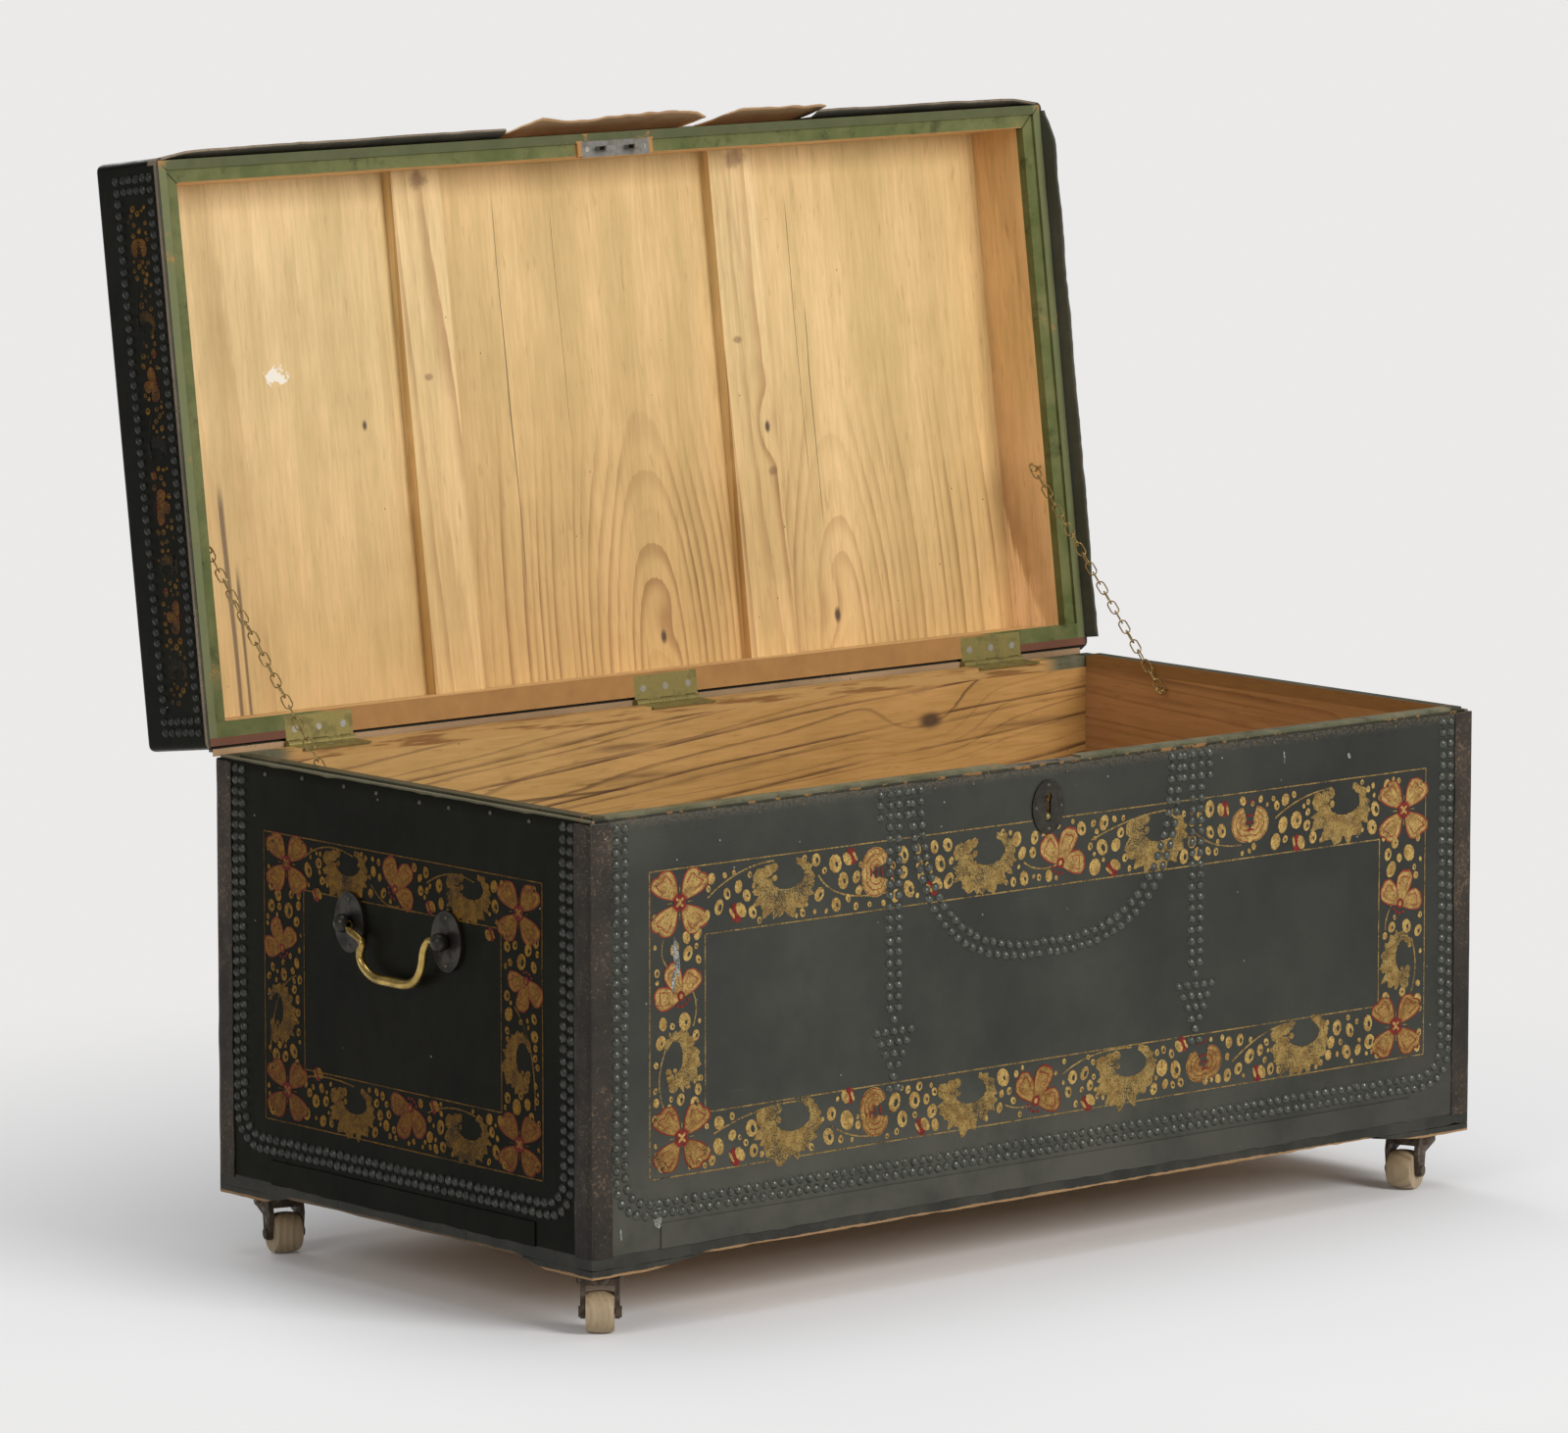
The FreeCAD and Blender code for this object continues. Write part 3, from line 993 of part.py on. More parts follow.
def eye(way):
    """A wire ring in the XZ plane about the origin, with a shank that runs out along X."""
    ring = Part.makeTorus(size("eye_radius"), size("eye_wire"), vector(0, 0, 0), vector(0, 1, 0))
    reach = size("stay_in") - size("eye_radius") + size("eye_shank")
    shank_start = vector(way * size("eye_radius"), 0, 0)
    shank = Part.makeCylinder(size("eye_wire"), reach, shank_start, vector(way, 0, 0))
    return ring.fuse(shank).removeSplitter()


base_eyes = []
lid_eyes = []
for side, label in ((-1, "left_stay_chain"), (1, "right_stay_chain")):
    plane_x = side * (inside_x - size("stay_in"))
    start = vector(plane_x, half_y - size("stay_base_back"), ledge - size("stay_base_down"))
    stop = open_lid(plane_x, -size("stay_lid_along"), lid_rim + size("stay_lid_deep"))
    run = stop.sub(start)
    way = vector(run.x, run.y, run.z).normalize()
    play = size("link_play")
    first = size("eye_radius") - size("eye_wire") - size("link_wire") - play
    total = run.Length - 2 * first
    bite = 2 * size("link_wire") + play
    count = 2 * int(round((total - bite) / size("link_pitch") / 2 - 0.5)) + 1
    long = (total + (count - 1) * bite) / count
    pitch = long - bite
    link = chain_link(long)
    along_z = FreeCAD.Rotation(vector(0, 0, 1), way)
    links = []
    for number in range(count):
        share = number / (count - 1)
        twist = 90 + 90 * (number % 2) + side * 38 * math.sin(math.pi * share / 2) ** 2 * (1 - (share > 0.97))
        turn = along_z.multiply(FreeCAD.Rotation(vector(0, 0, 1), twist))
        copy = link.copy()
        middle = start.add(way.multiply(1.0) * (first + long / 2 + number * pitch))
        copy.Placement = FreeCAD.Placement(middle, turn)
        links.append(copy)
    node(made(Part.makeCompound(links)), label)
    ring = eye(side)
    lower = ring.copy()
    lower.Placement = FreeCAD.Placement(start, along_z)
    base_eyes.append(lower)
    shut_turn = FreeCAD.Rotation(vector(1, 0, 0), size("lid_open")).multiply(along_z)
    upper = eye(side)
    upper_at = vector(plane_x, -size("stay_lid_along"), lid_rim + size("stay_lid_deep"))
    upper.Placement = FreeCAD.Placement(upper_at, shut_turn)
    lid_eyes.append(upper)
node(made(Part.makeCompound(base_eyes)), "chain_base_eyes")
node(on_lid(made(Part.makeCompound(lid_eyes))), "chain_lid_eyes")

# Studs: domed heads in rows. Each is its own solid, set on the leather.
def stud_head():
    """A domed stud head standing on z = 0."""
    radius = size("stud_radius")
    high = size("stud_high")
    ball = (radius ** 2 + high ** 2) / (2 * high)
    dome = Part.makeSphere(ball, vector(0, 0, high - ball))
    return dome.common(Part.makeCylinder(radius + 1, high + 1))


stud = stud_head()
pitch = size("stud_pitch")


def row(start, stop):
    """Evenly spaced places from start to stop, about one pitch apart."""
    length = math.hypot(stop[0] - start[0], stop[1] - start[1])
    count = max(1, int(round(length / pitch)))
    steps = [number / count for number in range(count + 1)]
    return [(start[0] + (stop[0] - start[0]) * t, start[1] + (stop[1] - start[1]) * t) for t in steps]


def border(half, low, top):
    """Double columns at both sides and a double row at the bottom, joined by rounded corners."""
    places = []
    gap = size("stud_column_gap")
    bend = 3.2 * pitch
    for ring in range(2):
        edge = half - size("stud_inset") - ring * gap
        floor = low + ring * gap
        round_off = bend - ring * gap * 0.6
        for side in (-1, 1):
            places += row((side * edge, top), (side * edge, floor + round_off))
            middle = (side * (edge - round_off), floor + round_off)
            steps = max(2, int(round(round_off * math.pi / 2 / pitch)))
            for number in range(1, steps):
                a = math.pi / 2 * number / steps
                across = middle[0] + side * round_off * math.cos(a)
                places.append((across, middle[1] - round_off * math.sin(a)))
        places += row((-edge + round_off, floor), (edge - round_off, floor))
    return places


stud_low = size("stand_high") + size("stud_low")
stud_top = ledge - size("stud_top")
front_places = border(half_x, stud_low, stud_top)
centre = size("lock_middle")
gap = size("stud_column_gap")
for side in (-1, 1):
    middle = centre + side * size("pendant_spread")
    foot = stud_top - size("pendant_long")
    for column in (-0.5, 0.5):
        front_places += row((middle + column * gap * 1.08, stud_top), (middle + column * gap * 1.08, foot))
    for level in range(3):
        for column in (-1.5, 1.5):
            front_places.append((middle + column * gap * 1.08, stud_top - level * pitch))
    front_places.append((middle, foot - pitch))
    for level, many in enumerate((5, 4, 3, 2, 1)):
        for number in range(many):
            across = (number - (many - 1) / 2) * pitch
            front_places.append((middle + across, foot - (2 + level) * pitch))
    for across in (-0.5, 0.5):
        front_places.append((middle + across * pitch, foot - 7 * pitch))


def swag_place(share, inset):
    """A place on the swag, share 0 to 1 from left to right, inset towards its middle."""
    half = size("swag_half") - inset
    drop = size("swag_drop") - inset
    a = math.pi * share
    across = -half * math.copysign(abs(math.cos(a)) ** 0.72, math.cos(a))
    return centre + across, stud_top - drop * math.sin(a) ** 0.85


def swag(inset):
    """Evenly spaced places along the swag."""
    fine = [swag_place(number / 600, inset) for number in range(601)]
    walked = [0.0]
    for before, after in zip(fine, fine[1:]):
        walked.append(walked[-1] + math.hypot(after[0] - before[0], after[1] - before[1]))
    count = int(round(walked[-1] / pitch))
    found = []
    index = 0
    for number in range(count + 1):
        want = walked[-1] * number / count
        while index < len(walked) - 1 and walked[index] < want:
            index += 1
        found.append(fine[index])
    return found


front_places += swag(0)
front_places += swag(gap)
shield_clear = size("plate_major") + size("stud_radius") + 1
front_places = [p for p in front_places if math.hypot(p[0] - centre, p[1] - key_z) > shield_clear]
front_studs = [stand(stud, (x, -half_y, z), (0, -1, 0)) for x, z in front_places]
node(made(Part.makeCompound(front_studs)), "front_studs")
end_places = border(half_y, stud_low, stud_top)
for side, label in ((-1, "left_studs"), (1, "right_studs")):
    studs = [stand(stud, (side * half_x, y, z), (side, 0, 0)) for y, z in end_places]
    node(made(Part.makeCompound(studs)), label)

# Lid studs, in the lid's own frame: rows along both edges of each end, double rows across both ends of them.
lid_places = []
rim_row = lid_rim + size("lid_stud_low")
crown_row = lid_rim + size("lid_high") - size("lid_stud_down")
front_end = lid_front + 16
back_end = -size("hinge_back") - 16
for level in (rim_row, crown_row):
    lid_places += row((front_end, level), (back_end, level))
for end_y, inward in ((front_end, 1), (back_end, -1)):
    for line in (0, 1):
        start = (end_y + inward * line * gap, rim_row + pitch)
        stop = (end_y + inward * line * gap, crown_row - pitch)
        lid_places += row(start, stop)
lid_studs = []
for side in (-1, 1):
    lid_studs += [stand(stud, (side * lid_x, y, z), (side, 0, 0)) for y, z in lid_places]
node(on_lid(made(Part.makeCompound(lid_studs))), "lid_studs")

doc.recompute()

# Every object must have built before anything is written.
for item in doc.Objects:
    if "Invalid" in item.State or "Error" in item.State:
        raise RuntimeError(f"{item.Label} did not build: {item.State}")
os.makedirs("parts", exist_ok=True)
for item in nodes:
    if item.Shape.isNull() or not item.Shape.isValid():
        raise RuntimeError(f"{item.Label} has no valid shape")
    item.Shape.exportStep(f"parts/{item.Label}.step")
    print(item.Label, len(item.Shape.Solids), "solids", round(item.Shape.Volume / 1000, 1), "cm3")
print(len(nodes), "nodes")
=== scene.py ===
# %% [markdown]
# # A painted leather sea chest
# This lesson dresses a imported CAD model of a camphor-wood travelling chest. The chest is covered in dark
# leather, edged with rows of domed studs and painted with a gold and red flower border. The CAD model is a
# fixed frame: every new piece is modelled in metres, straight onto the place where its solid already is.

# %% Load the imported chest
import math
import random

import bmesh
import bpy
from mathutils import Matrix, Vector, noise


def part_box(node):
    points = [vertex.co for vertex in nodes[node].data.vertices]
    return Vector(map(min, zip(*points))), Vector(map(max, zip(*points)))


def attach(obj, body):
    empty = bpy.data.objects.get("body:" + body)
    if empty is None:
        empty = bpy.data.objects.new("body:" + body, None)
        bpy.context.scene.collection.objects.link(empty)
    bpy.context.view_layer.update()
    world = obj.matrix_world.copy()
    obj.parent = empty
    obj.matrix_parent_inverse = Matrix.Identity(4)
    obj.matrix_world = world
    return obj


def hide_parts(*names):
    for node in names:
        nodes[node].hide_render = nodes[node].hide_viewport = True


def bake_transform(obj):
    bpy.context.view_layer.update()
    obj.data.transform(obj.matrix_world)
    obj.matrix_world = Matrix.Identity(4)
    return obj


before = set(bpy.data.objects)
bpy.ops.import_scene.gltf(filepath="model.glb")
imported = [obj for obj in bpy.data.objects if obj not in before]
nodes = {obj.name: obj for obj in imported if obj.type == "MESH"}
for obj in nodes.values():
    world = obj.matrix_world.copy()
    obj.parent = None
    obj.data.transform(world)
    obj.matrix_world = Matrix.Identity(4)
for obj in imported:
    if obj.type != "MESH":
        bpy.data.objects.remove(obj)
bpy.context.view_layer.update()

# %% [markdown]
# ## Camera
# The photograph was taken with a long lens from a little above the rim, turned towards the left end.
# A camera could be moved about by eye. Here its place and turn were solved from the corners of the chest.

# %% Camera
PHOTO_LENS = 203.36
CAMERA_PLACE = (-4.97175, -5.66652, 1.50470)
CAMERA_DIP = 8.0541
CAMERA_TURN = -40.7964
camera_data = bpy.data.cameras.new("camera")
camera_data.sensor_width = 36.0
camera_data.lens = PHOTO_LENS
camera_data.clip_end = 200.0
camera = bpy.data.objects.new("camera", camera_data)
camera.location = CAMERA_PLACE
camera.rotation_euler = (math.radians(90.0 - CAMERA_DIP), 0.0, math.radians(CAMERA_TURN))
bpy.context.scene.collection.objects.link(camera)
bpy.context.scene.camera = camera
bpy.context.scene.view_settings.view_transform = "Standard"
print("lens", PHOTO_LENS, "mm")

# %% [markdown]
# ## Small helpers for shader nodes
# A finish is a tree of nodes. Writing each node out in full hides the idea behind it, so a few short helpers
# add a node, mix two tones or stretch a value into a new range. The tree being built lies on a bench, where
# every helper finds it. An output of a node is kept as a Value, so that a sum can be written as a sum.


# %% Shader helpers
class Bench:
    """Holds the node tree that is being built, and its main shader."""

    tree = None
    shader = None


def add_node(kind, inputs=None, **properties):
    """Add one shader node, set or link its inputs, and give back its outputs by number and by name."""
    made = Bench.tree.nodes.new("ShaderNode" + kind)
    for name, value in properties.items():
        setattr(made, name, value)
    for name, value in (inputs or {}).items():
        source = getattr(value, "socket", value)
        if isinstance(source, bpy.types.NodeSocket):
            Bench.tree.links.new(source, made.inputs[name])
        elif made.inputs[name].type == "RGBA":
            made.inputs[name].default_value = (*source, 1.0)
        else:
            made.inputs[name].default_value = source
    outputs = {}
    for number, socket in enumerate(made.outputs):
        outputs[number] = Value(socket)
        outputs.setdefault(socket.name, Value(socket))
    return outputs


def reckon(operation, first, second=0.0):
    """One sum of two values."""
    return add_node("Math", {0: first, 1: second}, operation=operation)[0]


class Value:
    """An output of a node. A sum of values adds a Math node to the tree."""

    def __init__(self, socket):
        self.socket = socket

    def __add__(self, other):
        return reckon("ADD", self, other)

    def __sub__(self, other):
        return reckon("SUBTRACT", self, other)

    def __rsub__(self, other):
        return reckon("SUBTRACT", other, self)

    def __mul__(self, other):
        return reckon("MULTIPLY", self, other)

    def __truediv__(self, other):
        return reckon("DIVIDE", self, other)

    def __pow__(self, other):
        return reckon("POWER", self, other)

    def __abs__(self):
        return reckon("ABSOLUTE", self)


def mix_tones(share, first, second, way="MIX"):
    """Blend two colours by a share from 0 to 1."""
    return add_node("Mix", {0: share, 6: first, 7: second}, data_type="RGBA", blend_type=way)[2]


def spread(value, low, high, to_low=0.0, to_high=1.0):
    """Ease a value from one range into another, and hold it there."""
    inputs = {"Value": value, "From Min": low, "From Max": high, "To Min": to_low, "To Max": to_high}
    return add_node("MapRange", inputs, interpolation_type="SMOOTHSTEP", clamp=True)["Result"]


def cloud(place, scale, detail=3.0, rough=0.55):
    """Soft noise from 0 to 1."""
    inputs = {"Vector": place, "Scale": scale, "Detail": detail, "Roughness": rough}
    return add_node("TexNoise", inputs)["Fac"]


def stretch(place, scale):
    """Coordinates drawn out by a different amount along each axis."""
    return add_node("VectorMath", {0: place, 1: scale}, operation="MULTIPLY")[0]


def fall(value, low, high):
    """One below a range, nought above it."""
    return spread(value, low, high, 1.0, 0.0)


def between(value, low, high, ease=0.0004):
    """One inside a range, nought outside it."""
    return spread(value, low - ease, low) * fall(value, high, high + ease)


def largest(*values):
    """The largest of several values."""
    found = values[0]
    for value in values[1:]:
        found = reckon("MAXIMUM", found, value)
    return found


def lot(value):
    """A random level for each whole number."""
    return add_node("TexWhiteNoise", {"W": reckon("FLOOR", value)}, noise_dimensions="1D")["Value"]


def specks(place, scale, small, large, share, rare):
    """Scattered dots, one in some of the cells of a Voronoi texture."""
    cells = add_node("TexVoronoi", {"Vector": place, "Scale": scale, "Randomness": 1.0})
    chosen = add_node("SeparateColor", {0: cells["Color"]})[0]
    return spread(cells["Distance"], small, large, share, 0.0) * spread(chosen, rare, rare + 0.04)


def dimmed(colour, level):
    """A colour multiplied by a level."""
    grey = add_node("CombineColor", {0: level, 1: level, 2: level})[0]
    return mix_tones(1.0, colour, grey, "MULTIPLY")


def shaded(tone, level, tint=(1.0, 1.0, 1.0)):
    """A colour brought down or up in level, and tinted."""
    return [level * part * share for part, share in zip(tone, tint)]


def start_finish(name, roughness=0.5, metallic=0.0, gloss=0.5):
    """Put a new material on the bench; give it back with the piece's own coordinates."""
    finish = bpy.data.materials.new(name)
    finish.use_nodes = True
    Bench.tree = finish.node_tree
    Bench.shader = Bench.tree.nodes["Principled BSDF"]
    Bench.shader.inputs["Roughness"].default_value = roughness
    Bench.shader.inputs["Metallic"].default_value = metallic
    Bench.shader.inputs["Specular IOR Level"].default_value = gloss
    return finish, add_node("TexCoord")["Object"]


def wire(colour, roughness=None, height=None, bump=0.2, bump_deep=0.0005):
    """Link a colour, a roughness and a height field to the main shader."""
    fields = {"Base Color": colour, "Roughness": roughness}
    if height is not None:
        inputs = {"Strength": bump, "Distance": bump_deep, "Height": height}
        fields["Normal"] = add_node("Bump", inputs)["Normal"]
    for name, value in fields.items():
        if value is not None:
            Bench.tree.links.new(value.socket, Bench.shader.inputs[name])


# %% [markdown]
# ## Floor and light
# The chest stands on a pale studio floor that runs up into a pale background. A curved sheet would be in the
# way of the views from behind, so the floor is one wide disc: near the chest it is lit and takes the shadow,
# and far away it fades into an even glow that only the camera and reflections see.

# %% Floor
FLOOR_TONE = (0.90, 0.90, 0.905)
FAR_TONE = (0.83, 0.822, 0.815)
WHITE_SKY = (1.0, 1.0, 1.0, 1.0)
floor_shape = bmesh.new()
bmesh.ops.create_circle(floor_shape, cap_ends=True, segments=96, radius=70.0)
floor_mesh = bpy.data.meshes.new("studio_floor")
floor_shape.to_mesh(floor_mesh)
floor_shape.free()
studio_floor = bpy.data.objects.new("studio_floor", floor_mesh)
bpy.context.scene.collection.objects.link(studio_floor)
floor_finish, place = start_finish("pale_floor", 0.75, gloss=0.2)
smudge = cloud(place, 1.4)
floor_colour = mix_tones(smudge, FLOOR_TONE, (0.84, 0.84, 0.85))
wire(floor_colour)
distance = add_node("VectorMath", {0: place}, operation="LENGTH")["Value"]
far_away = spread(distance, 0.4, 1.35)
ray = add_node("LightPath")
seen = reckon("MAXIMUM", ray["Is Camera Ray"], ray["Is Glossy Ray"])
seen = reckon("MAXIMUM", seen, ray["Is Transmission Ray"])
glow = add_node("Emission", {"Color": FAR_TONE, "Strength": 1.0})
share = far_away * seen
mixed = add_node("MixShader", {0: share, 1: Bench.shader.outputs[0], 2: glow[0]})[0]
Bench.tree.links.new(mixed.socket, Bench.tree.nodes["Material Output"].inputs["Surface"])
floor_mesh.materials.append(floor_finish)
print("floor disc", len(floor_mesh.polygons), "face")


# %% Lights
CHEST_MIDDLE = Vector((0.0, 0.0, 0.35))
LAMPS = (
    ("key_lamp", (0.9, -4.9, 2.6), 2.2, 212.0),
    ("left_lamp", (-4.6, -1.2, 2.6), 2.4, 50.0),
    ("top_lamp", (0.3, 0.4, 4.2), 2.8, 55.0),
    ("back_lamp", (1.0, 4.8, 3.0), 2.4, 63.0),
)
for name, place, size, watts in LAMPS:
    lamp = bpy.data.lights.new(name, "AREA")
    lamp.size = size
    lamp.energy = watts
    holder = bpy.data.objects.new(name, lamp)
    holder.location = place
    holder.rotation_euler = (CHEST_MIDDLE - Vector(place)).to_track_quat("-Z", "Y").to_euler()
    bpy.context.scene.collection.objects.link(holder)
world = bpy.data.worlds.new("studio")
bpy.context.scene.world = world
world.use_nodes = True
Bench.tree = world.node_tree
sky = Bench.tree.nodes["Background"]
sky.inputs["Color"].default_value = WHITE_SKY
sky.inputs["Strength"].default_value = 0.27
backdrop = add_node("Background", {"Color": FAR_TONE, "Strength": 1.0})
ray = add_node("LightPath")
mixed = add_node("MixShader", {0: ray["Is Camera Ray"], 1: sky.outputs[0], 2: backdrop[0]})[0]
Bench.tree.links.new(mixed.socket, Bench.tree.nodes["World Output"].inputs["Surface"])
print("lamps", [lamp.name for lamp in bpy.data.lights])

# %% [markdown]
# ## The open lid
# The lid is packed in its open pose. Its boards run from the hinge to the front edge, so their grain is far
# easier to write down with the lid shut. The materials turn their coordinates about the hinge for this, and
# the new lid pieces are modelled shut and then turned open.

# %% Lid frame
HINGE = Vector((0.0, 0.2516, 0.4254))
LID_OPEN = math.radians(97.7)
OPEN_LID = Matrix.Translation(HINGE) @ Matrix.Rotation(-LID_OPEN, 4, "X") @ Matrix.Translation(-HINGE)


def shut_place(place):
    """The piece's coordinates as they would be with the lid shut."""
    inputs = {"Vector": place, "Center": HINGE, "Angle": LID_OPEN}
    return add_node("VectorRotate", inputs, rotation_type="X_AXIS")[0]


print("lid turned by", round(math.degrees(LID_OPEN), 1), "degrees about", tuple(HINGE))

# %% [markdown]
# ## Camphor wood
# The lid and the inside are bare camphor wood: honey coloured, with dark growth rings that make tall arches
# where a board was sawn flat through the log. A striped texture can't make arches. So the rings are real
# rings: the finish works out how far each point lies from the middle of the log, which leans a little to the
# board, and darkens the end of each year's growth. Knots push the rings aside, and cracks are thin lines.

# %% Camphor wood
PALE_WOOD = (0.66, 0.44, 0.19)
DEEP_WOOD = (0.40, 0.21, 0.07)
KNOT_TONE = (0.07, 0.032, 0.013)
CHIP_TONE = (0.84, 0.78, 0.66)
DIM_ALONG_TINT = (0.88, 0.80, 0.68)
CRACK_EASE = 0.03


def from_point(across, along, point, squeeze):
    """Distance on the board's face from a point, with the along direction squeezed."""
    side = across - point[0]
    reach = (along - point[1]) * squeeze
    return reckon("SQRT", side * side + reach * reach)


def mark_board(colour, places, cracks, smudges, chips):
    """Cracks, smudges and pale chips, each at a place across and along the board."""
    place, across, along, band = places
    for crack_across, low, high, wide in cracks:
        thin = spread(abs(across + (band - 0.5) * 0.03 - crack_across), wide * 0.3, wide, 0.75, 0.0)
        inside = between(along, low + CRACK_EASE, high - CRACK_EASE, CRACK_EASE)
        colour = mix_tones(thin * inside, colour, KNOT_TONE)
    for *smudge, size in smudges:
        apart = from_point(across, along, smudge, 1.4) + cloud(place, 110.0) * (size * 0.9)
        dirt = spread(apart, size * 0.75, size * 1.3, 0.6, 0.0)
        colour = mix_tones(dirt, colour, shaded(KNOT_TONE, 2.6))
    for *chip, size in chips:
        apart = from_point(across, along, chip, 1.7) + cloud(place, 130.0) * (size * 1.6)
        bare = fall(apart, size * 1.25, size * 1.4)
        colour = mix_tones(bare, colour, CHIP_TONE)
    return colour


def camphor(name, run, log, pale=PALE_WOOD, deep=DEEP_WOOD, figure=0.6, gap=0.006, waver=0.03,
            slant=0.0, arch=None, dim_along=None, knots=(), cracks=(), chips=(), on_lid=False,
            sharp=0.35, streaks=0.6, veins=0.0, smudges=(), even=1.0):
    """Camphor wood. run names the axes across, along and through; log is (across, through, lean)."""
    finish, place = start_finish(name, 0.5)
    if on_lid:
        place = shut_place(place)
    split = add_node("SeparateXYZ", {0: place})
    across, along, through = (split["xyz".index(axis)] for axis in run)
    drawn = [1.0, 1.0, 1.0]
    drawn["xyz".index(run[1])] = 0.07
    long_place = stretch(place, drawn)
    drift = cloud(long_place, 8.0, 2.0)
    fibre = cloud(long_place, 330.0, 3.0, 0.6)
    streak = cloud(long_place, 55.0, 3.0, 0.6)
    band = cloud(long_place, 16.0, 3.0, 0.6)
    patch = cloud(place, 6.0, 4.0, 0.6)
    wander = (drift - 0.5) * (waver * 2.0)
    wander += along * -slant
    side = across - log[0] + wander
    leaning = along * log[2] + log[1]
    if arch:
        leaning += spread(along, *arch)
    deepness = through + leaning
    radius = reckon("SQRT", side * side + deepness * deepness)
    cores = []
    for *knot, size in knots:
        apart = from_point(across, along, knot, 0.55)
        radius += spread(apart, size * 0.5, size * 5.5, size * 2.0, 0.0)
        cores.append(spread(apart, size * 0.3, size * 1.05, 0.95, 0.0))
    years = radius / gap + fibre * 0.16
    part = reckon("FRACT", years)
    strength = spread(lot(years), 0.0, 1.0, figure * 0.15, figure)
    strength *= spread(patch, 0.3, 0.65, 0.45, 1.1)
    if arch:
        strength *= spread(along, -0.05, 0.14, 0.08, 1.0)
    late = spread(part, sharp, 0.93) * fall(part, 0.95, 1.0)
    ring = late * strength
    colour = mix_tones(ring, pale, deep)
    brown = shaded(deep, 0.82)
    colour = mix_tones(spread(streak, 0.56, 0.82, 0.0, streaks * figure), colour, brown)
    if veins:
        rows = (across + along * -slant) * 150.0 + cloud(long_place, 9.0, 3.0, 0.5) * 9.0
        vein = spread(reckon("FRACT", rows), 0.1, 0.55, veins, 0.0) * spread(lot(rows), 0.3, 0.9)
        vein *= spread(patch, 0.3, 0.55, 0.25, 1.0)
        colour = mix_tones(vein, colour, deep)
    dim = spread(fibre, 0.25, 0.75, 1.0 - 0.12 * even, 1.0 + 0.06 * even)
    dim *= spread(patch, 0.25, 0.8, 1.05, 0.9)
    dim *= spread(band, 0.3, 0.7, 1.12, 0.86)
    lit = add_node("CombineColor", {0: dim, 1: dim, 2: dim ** 1.5})[0]
    colour = mix_tones(1.0, colour, lit, "MULTIPLY")
    # Darker and browner towards one end of the board, along its length.
    if dim_along:
        colour = mix_tones(spread(along, *dim_along), colour, DIM_ALONG_TINT, "MULTIPLY")
    colour = mix_tones(specks(place, 52.0, 0.025, 0.055, 0.8, 0.62), colour, KNOT_TONE)
    drawn["xyz".index(run[1])] = 0.16
    fleck = cloud(stretch(place, drawn), 240.0, 2.0, 0.5)
    colour = mix_tones(spread(fleck, 0.6, 0.76, 0.0, 0.3), colour, brown)
    if knots:
        colour = mix_tones(largest(*cores), colour, KNOT_TONE)
    colour = mark_board(colour, (place, across, along, band), cracks, smudges, chips)
    height = fibre - ring * 0.8
    wire(colour, spread(fibre, 0.2, 0.8, 0.42, 0.62), height, 0.22, 0.0004)
    return finish


def dress(finish, *names):
    """Give CAD nodes a finish through their material slots."""
    for name in names:
        for holder in nodes[name].material_slots:
            holder.material = finish


print("camphor recipe ready")

# %% [markdown]
# ## Camphor boards
# Each board gets a log of its own, so that no two boards carry the same figure. The axes are named in the
# order across, along and through the board. Knots and cracks sit where the photograph shows them.

# %% Camphor boards
WARM_PALE = (0.70, 0.44, 0.19)
WARM_DEEP = (0.40, 0.19, 0.065)
DARK_DEEP = (0.13, 0.055, 0.02)
BOARD_FACE = -0.4989
ARCH = (-0.03, 0.27, 0.060, 0.003)
LID_DIM_ALONG = (-0.20, 0.20)
board_left = camphor("camphor_lid_left", "xyz", (-0.62, 0.1, -0.04), (0.75, 0.54, 0.255),
                     (0.5, 0.29, 0.11), 0.42, 0.017, 0.06, dim_along=LID_DIM_ALONG, on_lid=True, streaks=0.6,
                     even=0.9, cracks=((-0.411, 0.02, 0.27, 0.004), (-0.4, 0.09, 0.27, 0.0028)),
                     knots=((-0.251, -0.013, 0.0032),), chips=((-0.343, -0.062, 0.021),))
board_middle = camphor("camphor_lid_middle", "xyz", (0.055, BOARD_FACE, 0.0), (0.71, 0.485, 0.21),
                       DEEP_WOOD, 0.95, 0.0086, 0.03, arch=ARCH, dim_along=LID_DIM_ALONG, on_lid=True, streaks=0.3,
                       even=0.9, knots=((0.064, 0.198, 0.0045),),
                       cracks=((-0.088, -0.21, 0.15, 0.0007), (-0.02, -0.2, 0.02, 0.0005)))
board_right = camphor("camphor_lid_right", "xyz", (0.278, BOARD_FACE, 0.0), (0.71, 0.49, 0.215),
                      DEEP_WOOD, 0.8, 0.0092, 0.03, arch=ARCH, dim_along=(-0.1, 0.4), on_lid=True, streaks=0.3,
                      even=0.9, knots=((0.27, 0.196, 0.005),),
                      cracks=((0.25, -0.19, 0.08, 0.0007), (0.262, -0.1, 0.12, 0.0005)))
dress(board_left, "lid_board_left")
dress(board_middle, "lid_board_middle")
dress(board_right, "lid_board_right")
batten_wood = camphor("camphor_battens", "xyz", (-0.75, 0.2, -0.03), (0.75, 0.535, 0.252),
                      (0.42, 0.23, 0.082), 0.85, 0.010, 0.05, dim_along=LID_DIM_ALONG, on_lid=True,
                      knots=((0.196, 0.02, 0.004),),
                      smudges=((-0.178, -0.222, 0.016), (0.184, -0.222, 0.018), (0.199, 0.06, 0.008),
                               (0.170, -0.06, 0.007), (-0.186, -0.05, 0.007)))
dress(batten_wood, "lid_battens")
